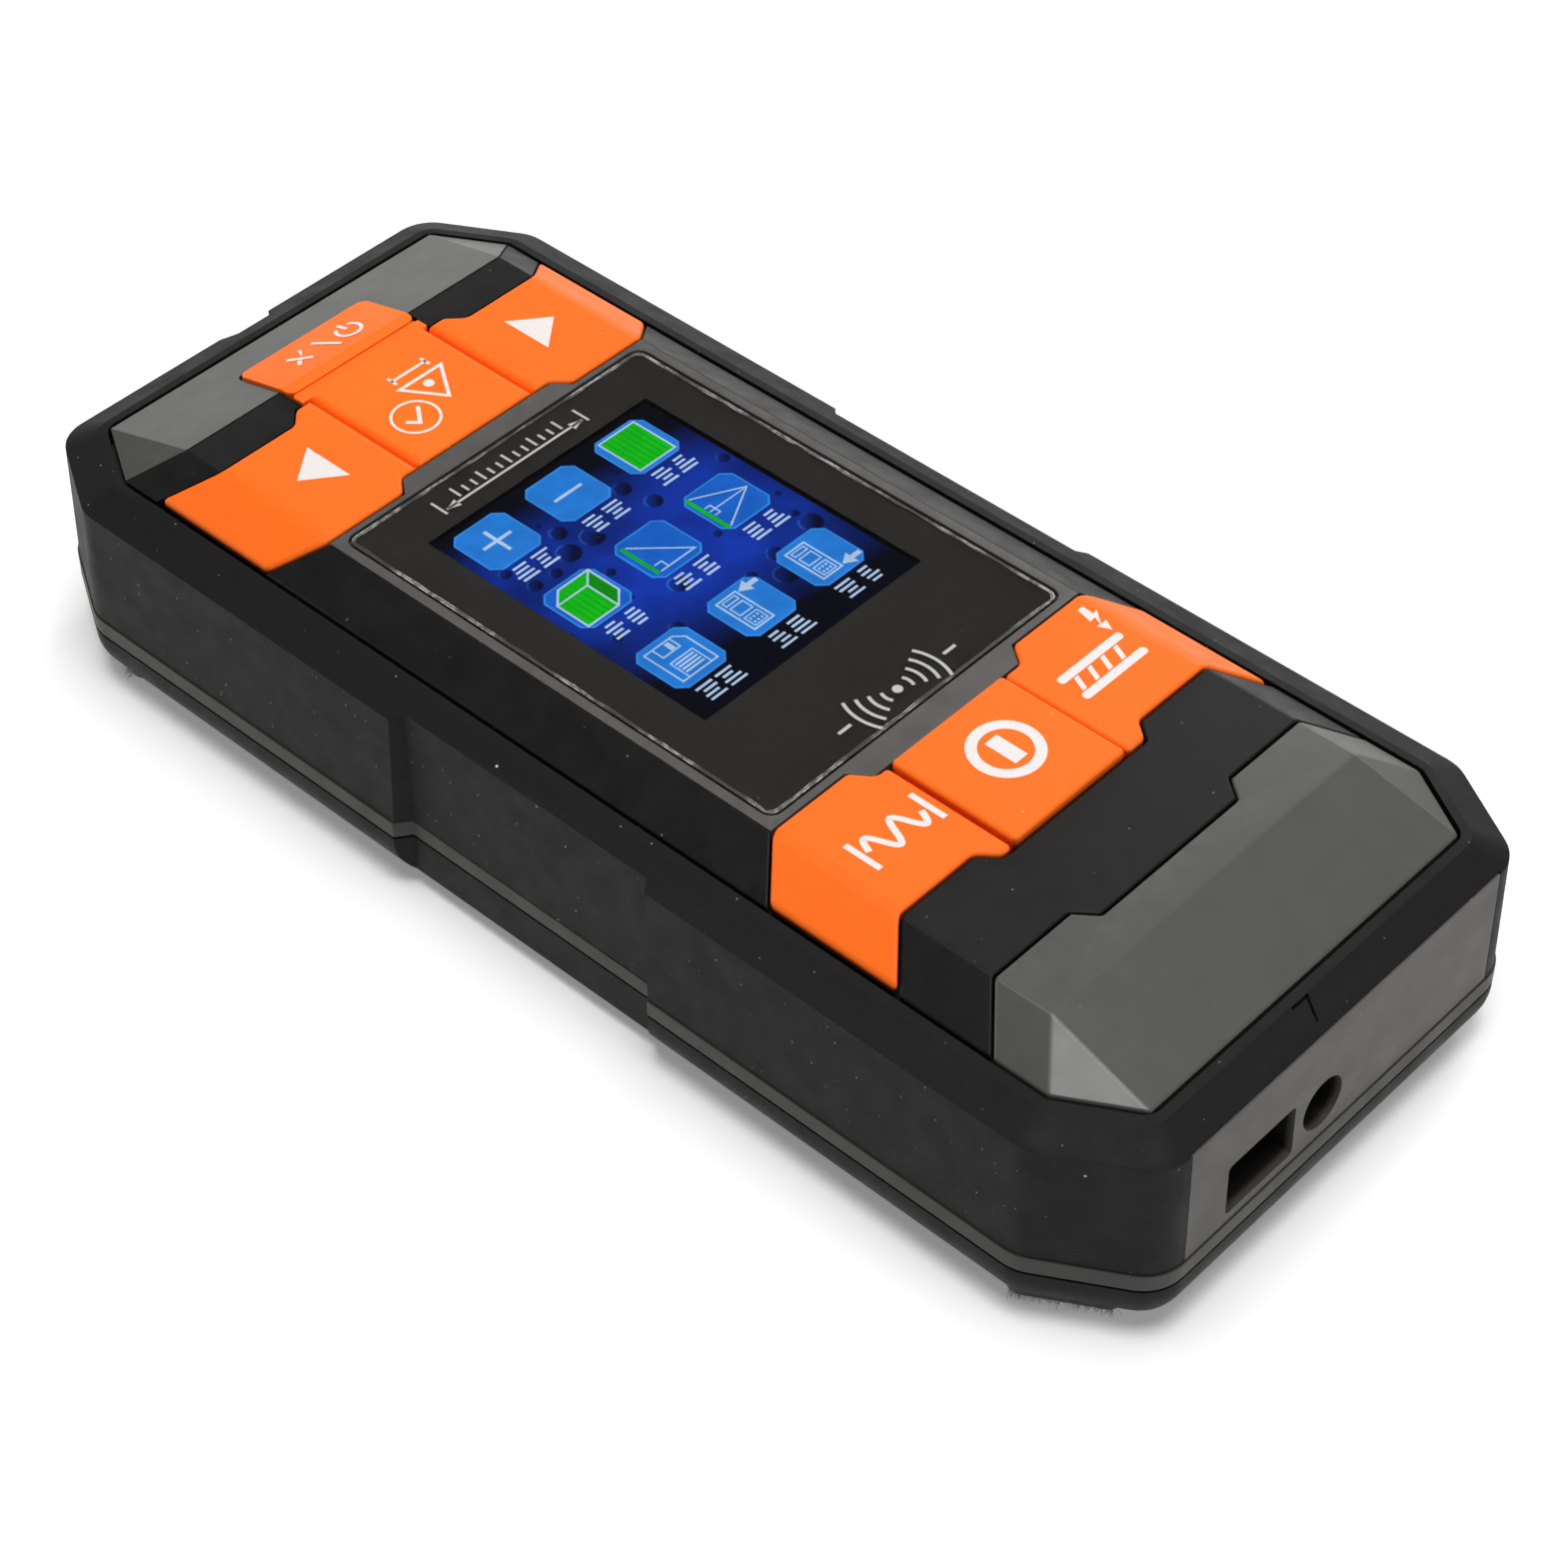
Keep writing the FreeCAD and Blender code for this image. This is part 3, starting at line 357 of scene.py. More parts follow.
def floor_material():
    nodes = Nodes("studio_floor")
    nodes.set(Roughness=0.9, Emission_Color=(1.0, 1.0, 1.0, 1.0), Emission_Strength=0.2)
    nodes.join(Base_Color=nodes.mix(nodes.noise(40 * MM, 4.0), (0.86, 0.86, 0.86, 1.0),
                                    (0.89, 0.89, 0.885, 1.0)))
    return nodes.material


DUST = (0.30, 0.29, 0.28, 1.0)
WARM_DUST = srgb(255, 205, 165)
MATERIALS = {
    "soft_black": moulded("soft_touch_rubber", srgb(19, 19, 19), 0.6, 0.20 * MM, 0.03 * MM, 0.06, 0.45, DUST,
                          gloss=0.16),
    "shell_black": moulded("shell_plastic", srgb(24, 24, 24), 0.5, 0.30 * MM, 0.02 * MM, 0.06, 0.2, DUST,
                           gloss=0.10),
    "band_gray": moulded("band_plastic", srgb(55, 55, 53), 0.5, 0.4 * MM, 0.008 * MM, 0.02, gloss=0.25),
    "panel_gray": moulded("panel_plastic", srgb(73, 71, 68), 0.5, 0.22 * MM, 0.03 * MM, 0.02, 0.2, gloss=0.25,
                          pocket_shade_y=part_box("end_panel")[0].y),
    "deck_gray": moulded("cap_plastic", srgb(80, 81, 79), 0.40, 0.35 * MM, 0.004 * MM, 0.015, 0.06,
                         gloss=0.45, metallic=0.3, vary=0.025),
    "deck_black": moulded("deck_plastic", srgb(19, 18, 18), 0.46, 0.3 * MM, 0.008 * MM, 0.06, 0.30, DUST,
                          gloss=0.19),
    "bezel_gray": moulded("bezel_plastic", srgb(92, 91, 90), 0.36, 0.3 * MM, 0.005 * MM, 0.03, 0.1, gloss=0.4,
                          metallic=0.3),
    "key_orange": moulded("key_silicone", srgb(255, 110, 22), 0.5, 0.5 * MM, 0.006 * MM, 0.02, 0.10,
                          WARM_DUST, 0.10, gloss=0.2),
    "mat_orange": moulded("mat_silicone", srgb(225, 88, 16), 0.5, 0.5 * MM, 0.01 * MM, 0.05),
    "gasket_black": moulded("gasket_foam", srgb(14, 14, 14), 0.8, 0.2 * MM, 0.03 * MM, gloss=0.1),
    "display": moulded("display_glass", srgb(6, 6, 8), 0.3, 0.5 * MM, 0.0, 0.2, gloss=0.1),
    "board_green": moulded("solder_mask", srgb(18, 84, 48), 0.35, 0.6 * MM, 0.01 * MM, 0.15),
    "chip_black": moulded("chip_epoxy", srgb(13, 13, 13), 0.7, 0.15 * MM, 0.012 * MM, 0.15, gloss=0.05),
    "flex_amber": moulded("polyimide_film", srgb(170, 96, 28), 0.25, 0.8 * MM, 0.01 * MM, 0.1),
    "steel": metal("plated_steel", (0.55, 0.55, 0.54, 1.0), 0.34),
    "brass": metal("turned_brass", (0.62, 0.44, 0.18, 1.0), 0.30),
    "copper": metal("enamelled_copper", (0.66, 0.28, 0.12, 1.0), 0.32, (1.0, 1.0, 60.0)),
    "glass": optic_glass(),
    "cell_wrap": metal("foil_pouch", (0.62, 0.62, 0.64, 1.0), 0.42, (1.0, 1.0, 1.0)),
    "lead_red": moulded("wire_insulation", srgb(140, 22, 20), 0.4, 0.6 * MM, 0.01 * MM),
    "connector_white": moulded("connector_nylon", srgb(214, 208, 194), 0.5, 0.4 * MM, 0.01 * MM),
    "foam": moulded("battery_foam", srgb(60, 60, 62), 0.9, 0.3 * MM, 0.08 * MM, 0.2),
    "felt": felt_material(),
    "label": moulded("label_film", srgb(150, 150, 148), 0.4, 0.8 * MM, 0.004 * MM, 0.04),
    "lens_black": lens_clear(),
}
PRINT_WHITE = printed("print_white", srgb(232, 225, 222))
PRINT_PALE = printed("print_pale", srgb(186, 184, 180))
PRINT_DIM = printed("print_dim", srgb(128, 126, 118))
PRINT_BLACK = moulded("lens_back_print", srgb(61, 60, 58), 0.6, 2.0 * MM, 0.0, 0.03, 0.12, DUST, 0.0,
                      gloss=0.02)
EDGE_PRINT = moulded("lens_side_print", srgb(84, 83, 80), 0.6, 2.0 * MM, 0.0, 0.03, wear=0.0, gloss=0.02)
# painted glints: broken bright base colour along the lens edge and the film edge, standing in for light
# caught on them
FILM_EDGE_GLINTS = lens_edge_glints("lens_film_edge_glints", srgb(66, 65, 63), srgb(215, 213, 208), 0.44)
FILM_BAND_GLINTS = lens_edge_glints("lens_film_band_glints", srgb(50, 49, 47), srgb(112, 110, 106), 0.42)
LIT_TILE = lit("lit_tile", srgb(38, 128, 222), 1.25)
LIT_TILE_EDGE = lit("lit_tile_edge", srgb(52, 142, 234), 1.25)
LIT_TILE_DEEP = lit("lit_tile_deep", srgb(26, 104, 212), 1.2)
LIT_WHITE = lit("lit_white", srgb(186, 212, 244), 1.25)
LIT_GREEN = lit("lit_green", srgb(18, 196, 24), 1.2, 0.5)
LIT_GREEN_DARK = lit("lit_green_dark", srgb(8, 156, 14), 1.1, 0.5)


# ---- mesh helpers -----------------------------------------------------------------------
def new_object(name, mesh, material):
    piece = bpy.data.objects.new(name, mesh)
    bpy.context.scene.collection.objects.link(piece)
    mesh.materials.clear()
    mesh.materials.append(material)
    return piece


def edge_turn(edge):
    if len(edge.link_faces) != 2:
        return 0.0
    return edge.calc_face_angle(0.0)


def middle_of(edge):
    return (edge.verts[0].co + edge.verts[1].co) / 2


def always(edge, turn):
    return 1.0


def soften(node, width, weight=always, name=None, segments=3, sink=0.0, clamp=True):
    """A CAD node's shape with its edges rounded: welded, dissolved, then bevelled.

    weight(edge, turn) gives each sharp edge its share of the width; sink lowers the flat
    top to leave room for the print on it. clamp holds the rounding back where faces are small.
    """
    work = bmesh.new()
    work.from_mesh(NODES[node].data)
    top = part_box(node)[1].z
    for vert in work.verts:
        if vert.co.z > top - 0.001 * MM:
            vert.co.z -= sink
    bmesh.ops.remove_doubles(work, verts=work.verts, dist=1e-6)
    bmesh.ops.dissolve_limit(work, angle_limit=math.radians(0.4), verts=work.verts, edges=work.edges)
    shares = work.edges.layers.float.new("bevel_weight_edge")
    for edge in work.edges:
        turn = edge_turn(edge)
        if turn > SHARP:
            edge[shares] = max(0.0, min(1.0, weight(edge, turn)))
    mesh = bpy.data.meshes.new(name or node + "_finish")
    work.to_mesh(mesh)
    work.free()
    for face in mesh.polygons:
        face.use_smooth = True
    piece = new_object(name or node + "_finish", mesh, MATERIALS[SLOT_OF[node]])
    bevel = piece.modifiers.new("rounding", "BEVEL")
    bevel.width = width
    bevel.segments = segments
    bevel.limit_method = "WEIGHT"
    bevel.use_clamp_overlap = clamp
    bevel.miter_outer = "MITER_ARC"
    normals = piece.modifiers.new("normals", "WEIGHTED_NORMAL")
    normals.keep_sharp = True
    normals.weight = 80
    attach(piece, BODY_OF[node])
    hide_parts(node)
    return piece


def flat_piece(name, shapes, height, material, body, thick=PRINT_THICK, surface=None):
    """Thin printed shapes lying at a height, or on surface(x, y), with a little thickness."""
    work = bmesh.new()
    for shape in shapes:
        low = []
        for x, y in shape:
            base = surface(x, y) if surface else height
            low.append(work.verts.new((x, y, base)))
        work.faces.new(low)
    bmesh.ops.remove_doubles(work, verts=work.verts, dist=1e-7)
    bmesh.ops.recalc_face_normals(work, faces=work.faces)
    for face in work.faces:
        if face.normal.z < 0:
            face.normal_flip()
    raised = bmesh.ops.extrude_face_region(work, geom=list(work.faces))
    moved = [item for item in raised["geom"] if isinstance(item, bmesh.types.BMVert)]
    bmesh.ops.translate(work, verts=moved, vec=(0, 0, thick))
    bmesh.ops.recalc_face_normals(work, faces=work.faces)
    mesh = bpy.data.meshes.new(name)
    work.to_mesh(mesh)
    work.free()
    piece = new_object(name, mesh, material)
    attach(piece, body)
    return piece


def moved(shapes, dx, dy, scale=1.0):
    return [[(x * scale + dx, y * scale + dy) for x, y in shape] for shape in shapes]


def ring(x, y, outer, inner, start=0.0, end=360.0, steps=48):
    """Ring or arc as a strip of quads."""
    shapes = []
    for i in range(steps):
        a = math.radians(start + (end - start) * i / steps)
        b = math.radians(start + (end - start) * (i + 1) / steps)
        shapes.append([(x + inner * math.cos(a), y + inner * math.sin(a)),
                       (x + outer * math.cos(a), y + outer * math.sin(a)),
                       (x + outer * math.cos(b), y + outer * math.sin(b)),
                       (x + inner * math.cos(b), y + inner * math.sin(b))])
    return shapes


def disc(x, y, radius, steps=24):
    turns = [math.radians(360 * i / steps) for i in range(steps)]
    return [[(x + radius * math.cos(a), y + radius * math.sin(a)) for a in turns]]


def bar(x, y, width, height):
    return [[(x - width / 2, y - height / 2), (x + width / 2, y - height / 2),
             (x + width / 2, y + height / 2), (x - width / 2, y + height / 2)]]


def rounded_bar(x, y, width, height, radius, steps=5):
    outline = []
    for corner, (sx, sy) in enumerate(((1, 1), (-1, 1), (-1, -1), (1, -1))):
        for i in range(steps + 1):
            a = math.radians(90 * corner + 90 * i / steps)
            outline.append((x + sx * (width / 2 - radius) + radius * math.cos(a),
                            y + sy * (height / 2 - radius) + radius * math.sin(a)))
    return [outline]


def stroke(points, width, closed=False):
    """Line of even width through points, with mitred corners, as a strip of quads."""
    count = len(points)
    spots = [Vector(point) for point in points]
    sides = []
    for i in range(count):
        before = spots[i - 1] if i > 0 or closed else None
        after = spots[(i + 1) % count] if i < count - 1 or closed else None
        into = (spots[i] - before).normalized() if before is not None else None
        out = (after - spots[i]).normalized() if after is not None else into
        into = into or out
        across = Vector((-(into.y + out.y), into.x + out.x)).normalized()
        reach = width / 2 / max(0.35, across.dot(Vector((-out.y, out.x))))
        sides.append((spots[i] + across * reach, spots[i] - across * reach))
    pairs = [(i, (i + 1) % count) for i in range(count if closed else count - 1)]
    return [[tuple(sides[a][1]), tuple(sides[b][1]), tuple(sides[b][0]), tuple(sides[a][0])]
            for a, b in pairs]


# ---- case and deck ----------------------------------------------------------------------
def bumper_weight(edge, turn):
    """The rim's outer edge is soft; seams at the end panel and the deck are tight."""
    middle = middle_of(edge)
    on_rim = abs(middle.z - 21.0 * MM) < 0.2 * MM
    if on_rim and (abs(middle.x) > 20.8 * MM or middle.y > 0):
        return 1.0
    if abs(abs(middle.y) - 15.5 * MM) < 1.5 * MM:
        return 0.45
    if abs(middle.x) < 6 * MM and middle.y > 60 * MM:
        return 0.45
    return 0.18


def faces_up(face):
    return face.normal.z > 0.5


def key_weight(edge, turn):
    """Soft creases, rounded outline and corners; valleys between the far keys are wider."""
    middle = middle_of(edge)
    if not any(faces_up(face) for face in edge.link_faces):
        upper = max(edge.verts, key=lambda vert: vert.co.z)
        upright = (edge.verts[0].co - edge.verts[1].co).xy.length < 0.01 * MM
        outer = upright and any(faces_up(face) for face in upper.link_faces)
        tight = 48 * MM < middle.y < 51.2 * MM and abs(middle.x) < 9 * MM
        return (0.1 if tight else 0.6) if outer else 0.0
    on_crease = abs(abs(middle.x) - FLANK_X) < 0.3 * MM or abs(middle.y - FAR_CREASE_Y) < 0.3 * MM
    if on_crease and turn < math.radians(45):
        return 1.0
    if abs(middle.y - 49.8 * MM) < 0.75 * MM and abs(abs(middle.x) - 7.9 * MM) < 0.8 * MM:
        return 0.12          # the measure key's small steps
    if abs(middle.y - GROOVE_Y) < 0.3 * MM:
        return 0.35
    if middle.y > 34 * MM and abs(abs(middle.x) - FAR_SPLIT_X) < 0.3 * MM:
        return 1.0
    return 0.5


def web(name, start, end, top, wide):
    """Thin silicone web with a round top, closing the slit between two keys."""
    start, end = Vector(start), Vector(end)
    along = (end - start).normalized()
    across = Vector((-along.y, along.x, 0.0))
    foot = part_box("near_key_mat")[1].z + 0.3 * MM
    profile = [(-wide / 2, foot), (-wide / 2, top - wide / 2)]
    profile += [(wide / 2 * math.sin(math.radians(a)), top - wide / 2 + wide / 2 * math.cos(math.radians(a)))
                for a in (-45, 0, 45)]
    profile += [(wide / 2, top - wide / 2), (wide / 2, foot)]
    work = bmesh.new()
    rows = [[work.verts.new((spot.x + across.x * side, spot.y + across.y * side, z)) for side, z in profile]
            for spot in (start, end)]
    for i in range(len(profile)):
        j = (i + 1) % len(profile)
        work.faces.new((rows[0][i], rows[0][j], rows[1][j], rows[1][i]))
    work.faces.new(rows[0])
    work.faces.new(list(reversed(rows[1])))
    bmesh.ops.recalc_face_normals(work, faces=work.faces)
    mesh = bpy.data.meshes.new(name)
    work.to_mesh(mesh)
    work.free()
    piece = new_object(name, mesh, MATERIALS["key_orange"])
    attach(piece, "housing")


def key_webs():
    """Webs of the rubber sheet, low in the slits between keys; the clear key's is near its top."""
    for tag, x in (("left", -FAR_SPLIT_X), ("right", FAR_SPLIT_X)):
        web("far_web_" + tag, (x, 34.9 * MM, 0), (x, 49.12 * MM, 0), DECK_TOP - 0.40 * MM, 0.23 * MM)
    for tag, x in NEAR_SPLITS_X:
        web("near_web_" + tag, (x, -37.4 * MM, 0), (x, -24.4 * MM, 0), DECK_TOP - 0.75 * MM, 0.3 * MM)
    web("far_web_middle", (-8.2 * MM, GROOVE_Y, 0), (7.4 * MM, GROOVE_Y, 0), DECK_TOP + 0.12 * MM, 0.23 * MM)


soften("bumper", 0.9 * MM, bumper_weight)
soften("bottom_shell", 0.18 * MM)
soften("upper_housing", 0.15 * MM)
soften("end_panel", 0.15 * MM)
for cover in ("near_cap", "far_cap", "near_band", "far_band", "screen_frame", "screen_bezel"):
    soften(cover, 0.22 * MM)
for key in KEYS:
    soften(key, 0.8 * MM, key_weight, segments=4, sink=PRINT_ROOM, clamp=key == "key_clear")
key_webs()
soften("lens_window", 0.12 * MM, name="lens_pane")


def round_frame(inset, step=0.7 * MM):
    """Evenly spaced points round the lens outline, drawn in by an inset, with their normals."""
    low, high = LENS_LOW.xy + Vector((inset, inset)), LENS_HIGH.xy - Vector((inset, inset))
    radius = 1.0 * MM - inset / 2
    points = []
    for corner, (sx, sy) in enumerate(((1, 1), (-1, 1), (-1, -1), (1, -1))):
        middle = Vector((high.x - radius if sx > 0 else low.x + radius,
                         high.y - radius if sy > 0 else low.y + radius))
        for i in range(7):
            turn = math.radians(90 * corner + 15 * i)
            out = Vector((math.cos(turn), math.sin(turn)))
            points.append((middle + out * radius, out))
        after = (corner + 1) % 4
        run = (high.x - low.x if corner % 2 == 0 else high.y - low.y) - 2 * radius
        ahead = Vector(((-1, 0), (0, -1), (1, 0), (0, 1))[corner])
        start, out = points[-1]
        for i in range(1, int(run / step)):
            points.append((start + ahead * run * i / int(run / step), out))
    return points


def lens_print():
    """Black print of the lens, open over the screen, with the lens edge and the film edge on it drawn as
    lines of painted glints.
    """
    inset = 0.06 * MM
    low_x, high_x = LENS_LOW.x + inset, LENS_HIGH.x - inset
    low_y, high_y = LENS_LOW.y + inset, LENS_HIGH.y - inset
    open_x = (SCREEN_MIDDLE.x - SCREEN_SIZE.x / 2 - 0.1 * MM, SCREEN_MIDDLE.x + SCREEN_SIZE.x / 2 + 0.1 * MM)
    open_y = (SCREEN_MIDDLE.y - SCREEN_SIZE.y / 2 - 0.1 * MM, SCREEN_MIDDLE.y + SCREEN_SIZE.y / 2 + 0.1 * MM)
    shapes = [
        [(low_x, low_y), (high_x, low_y), (open_x[1], open_y[0]), (open_x[0], open_y[0])],
        [(high_x, low_y), (high_x, high_y), (open_x[1], open_y[1]), (open_x[1], open_y[0])],
        [(high_x, high_y), (low_x, high_y), (open_x[0], open_y[1]), (open_x[1], open_y[1])],
        [(low_x, high_y), (low_x, low_y), (open_x[0], open_y[0]), (open_x[0], open_y[1])],
    ]
    flat_piece("lens_mask", shapes, LENS_HIGH.z - 0.30 * MM, PRINT_BLACK, "housing", 0.03 * MM)
    side_print()
    film_edges()


def side_print():
    """Black print on the sides of the lens, just inside its faces."""
    work = bmesh.new()
    rows = []
    for spot, out in round_frame(0.06 * MM):
        back = spot - out * 0.02 * MM
        rows.append([work.verts.new((point.x, point.y, z)) for point, z in
                     ((spot, LENS_LOW.z - 0.02 * MM), (spot, LENS_HIGH.z - 0.03 * MM),
                      (back, LENS_HIGH.z - 0.03 * MM), (back, LENS_LOW.z - 0.02 * MM))])
    for i in range(len(rows)):
        ahead = rows[(i + 1) % len(rows)]
        for a in range(4):
            b = (a + 1) % 4
            work.faces.new((rows[i][a], rows[i][b], ahead[b], ahead[a]))
    bmesh.ops.recalc_face_normals(work, faces=work.faces)
    mesh = bpy.data.meshes.new("lens_side_print")
    work.to_mesh(mesh)
    work.free()
    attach(new_object("lens_side_print", mesh, EDGE_PRINT), "housing")


def film_edges():
    """The lens edge as a broken line of painted glints, with the wavy edge of a protective film inside it,
    also carrying painted glints.
    """
    draw = random.Random(5)
    frame_points = round_frame(0.03 * MM)
    count = len(frame_points)
    phases = [(draw.uniform(2, 60), draw.uniform(0, 6.28), draw.uniform(0.3, 1.0)) for _ in range(9)]

    def wave(i):
        return sum(gain * math.sin(2 * math.pi * int(rate) * i / count + phase)
                   for rate, phase, gain in phases) / 4

    # the real lens edge, film band and film edge, each coloured with painted glints
    bands = (("lens_edge_glints", 0.0, 0.09, 0.02, FILM_EDGE_GLINTS), ("film_band", 0.09, 0.27, 0.11, FILM_BAND_GLINTS),
             ("film_edge", 0.27, 0.33, 0.11, FILM_EDGE_GLINTS))
    for name, start, end, sway, material in bands:      # in millimetres from the lens outline
        shapes = []
        for i in range(count):
            j = (i + 1) % count
            rows = []
            for k in (i, j):
                spot, out = frame_points[k]
                near = start + (sway * wave(k) if start > 0.2 else 0.0)
                far = end + sway * wave(k)
                rows.append((spot - out * near * MM, spot - out * far * MM))
            shapes.append([tuple(rows[0][0]), tuple(rows[1][0]), tuple(rows[1][1]), tuple(rows[0][1])])
        flat_piece(name, shapes, LENS_HIGH.z - 0.01 * MM, material, "housing", 0.02 * MM)


# ---- screen picture ---------------------------------------------------------------------
def tile_middle(column, row):
    return (TILE_MIDDLE_X + (column - 1) * TILE_PITCH.x,
            SCREEN_MIDDLE.y + TILE_TOP_ROW - row * TILE_PITCH.y)


def cut_square(x, y, size, cut):
    """Square tile with small cut corners."""
    h = size / 2
    return [[(x + h, y - h + cut), (x + h, y + h - cut), (x + h - cut, y + h), (x - h + cut, y + h),
             (x - h, y + h - cut), (x - h, y - h + cut), (x - h + cut, y - h), (x + h - cut, y - h)]]


def icon_plus():
    thin = 0.07
    arm = 0.64
    return {"white": [[(-thin, -arm), (thin, -arm), (thin, -thin), (arm, -thin), (arm, thin), (thin, thin),
                       (thin, arm), (-thin, arm), (-thin, thin), (-arm, thin), (-arm, -thin),
                       (-thin, -thin)]]}


def icon_minus():
    return {"white": bar(0, 0, 1.28, 0.13)}


def icon_area():
    return {"green": bar(0, 0, 1.66, 1.94),
            "white": stroke([(-0.86, -1.0), (0.86, -1.0), (0.86, 1.0), (-0.86, 1.0)], 0.07, True)}


def icon_cube():
    left, right, low, high, shift_x, shift_y = -0.98, 0.42, -1.02, 0.42, 0.56, 0.54
    front = [(left, low), (right, low), (right, high), (left, high)]
    top = [(left, high), (right, high), (right + shift_x, high + shift_y), (left + shift_x, high + shift_y)]
    side = [(right, low), (right + shift_x, low + shift_y), (right + shift_x, high + shift_y), (right, high)]
    outline = stroke([(left, low), (right, low), (right + shift_x, low + shift_y),
                      (right + shift_x, high + shift_y), (left + shift_x, high + shift_y), (left, high)],
                     0.08, True)
    inner = (stroke([(left, high), (right, high), (right, low)], 0.07)
             + stroke([(right, high), (right + shift_x, high + shift_y)], 0.07))
    return {"green": [front, top], "dark": [side], "white": outline + inner}


def icon_triangle():
    return {"white": stroke([(-0.76, -0.87), (0.85, -0.87), (-0.76, 0.8)], 0.06)
            + stroke([(-0.4, -0.84), (-0.4, -0.52), (-0.72, -0.52)], 0.05),
            "green": bar(-0.88, 0.0, 0.15, 1.8)}


def icon_double_triangle():
    return {"white": stroke([(-0.86, 0.96), (0.97, 0.0), (-0.86, -0.99)], 0.06)
            + stroke([(-0.84, 0.0), (0.85, 0.0)], 0.05)
            + stroke([(-0.58, 0.03), (-0.58, 0.24), (-0.84, 0.24)], 0.05)
            + stroke([(-0.84, -0.24), (-0.58, -0.24), (-0.58, -0.03)], 0.05),
            "green": bar(-0.97, 0.0, 0.17, 2.05)}


def icon_store():
    case = [(-0.79, -0.86), (0.82, -0.86), (0.82, 0.58), (0.5, 0.9), (-0.79, 0.9)]
    return {"white": stroke(case, 0.06, True)
            + stroke([(-0.42, 0.87), (-0.42, 0.38), (0.36, 0.38), (0.36, 0.87)], 0.06)
            + bar(0.12, 0.62, 0.2, 0.38)
            + stroke([(-0.48, -0.84), (-0.48, 0.02), (0.55, 0.02), (0.55, -0.84)], 0.05)
            + [shape for y in (-0.13, -0.29, -0.45, -0.61) for shape in bar(0.03, y, 0.84, 0.08)]}


def icon_reference(front):
    """Tool outline with an arrow at its front or back end."""
    side = 0.8 if front else -0.8
    body = stroke([(-0.76, -0.86), (0.15, -0.86), (0.15, 0.88), (-0.76, 0.88)], 0.07, True)
    cells = [shape for low, high in ((0.56, 0.76), (-0.06, 0.40), (-0.74, -0.24)) for shape in stroke(
        [(-0.60, low), (-0.01, low), (-0.01, high), (-0.60, high)], 0.05, True)]
    dots = [shape for x in (-0.47, -0.31, -0.15) for y in (-0.6, -0.4) for shape in bar(x, y, 0.08, 0.09)]
    arrow = [[(0.22, side), (0.7, side + 0.3), (0.7, side - 0.3)]] + bar(0.9, side, 0.4, 0.2)
    return {"white": body + cells + dots + arrow}


ICONS = [
    [icon_plus(), icon_minus(), icon_area()],
    [icon_cube(), icon_triangle(), icon_double_triangle()],
    [icon_store(), icon_reference(True), icon_reference(False)],
]


def label_marks(column, row):
    """Two blocks of uneven bars that stand for a caption, with no lettering."""
    draw = random.Random(11 + 3 * row + column)
    marks = []
    for block in (-1.25, 1.25):
        for line in (0.9, 0.3, -0.3, -0.9):
            length = draw.choice((1.2, 1.6, 2.0))
            shift = draw.uniform(-0.2, 0.2)
            marks += bar((block + shift) * MM, line * MM, length * MM, 0.28 * MM)
    return marks


def screen_picture():
    height = SCREEN_TOP + 0.02 * MM
    step = 0.03 * MM
    sheet = bar(SCREEN_MIDDLE.x, SCREEN_MIDDLE.y, SCREEN_SIZE.x, SCREEN_SIZE.y)
    flat_piece("screen_background", sheet, height, wallpaper(), "housing", step / 2)
    edge_x = SCREEN_MIDDLE.x - SCREEN_SIZE.x / 2
    flat_piece("screen_side_line", bar(edge_x, SCREEN_MIDDLE.y, 0.10 * MM, SCREEN_SIZE.y), height + step,
               PRINT_DIM, "housing", step / 2)
    kinds = {"white": LIT_WHITE, "green": LIT_GREEN, "dark": LIT_GREEN_DARK}
    for row in range(3):
        for column in range(3):
            x, y = tile_middle(column, row)
            tag = f"{row + 1}{column + 1}"
            flat_piece("tile_edge_" + tag, cut_square(x, y, TILE_SIZE, 0.9 * MM), height + step,
                       LIT_TILE_EDGE, "housing", step / 2)
            flat_piece("tile_" + tag, cut_square(x, y, TILE_SIZE - 0.4 * MM, 0.8 * MM), height + 2 * step,
                       LIT_TILE_DEEP if row == 1 else LIT_TILE, "housing", step / 2)
            for level, (kind, shapes) in enumerate(sorted(ICONS[row][column].items())):
                flat_piece(f"icon_{kind}_{tag}", moved(shapes, x, y, TILE_SIZE * 0.42),
                           height + (3 + level) * step, kinds[kind], "housing", step / 2)
            flat_piece("caption_" + tag, moved(label_marks(column, row), x, y - LABEL_DROP),
                       height + 3 * step, LIT_WHITE, "housing", step / 2)


# ---- printed symbols on the keys and lens -----------------------------------------------
def key_top(node):
    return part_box(node)[1].z - PRINT_ROOM + PRINT_CLEAR


def wave_points(width, height, turns, steps=40):
    return [(width * (i / steps - 0.5), height / 2 * math.sin(2 * math.pi * turns * i / steps))
            for i in range(steps + 1)]


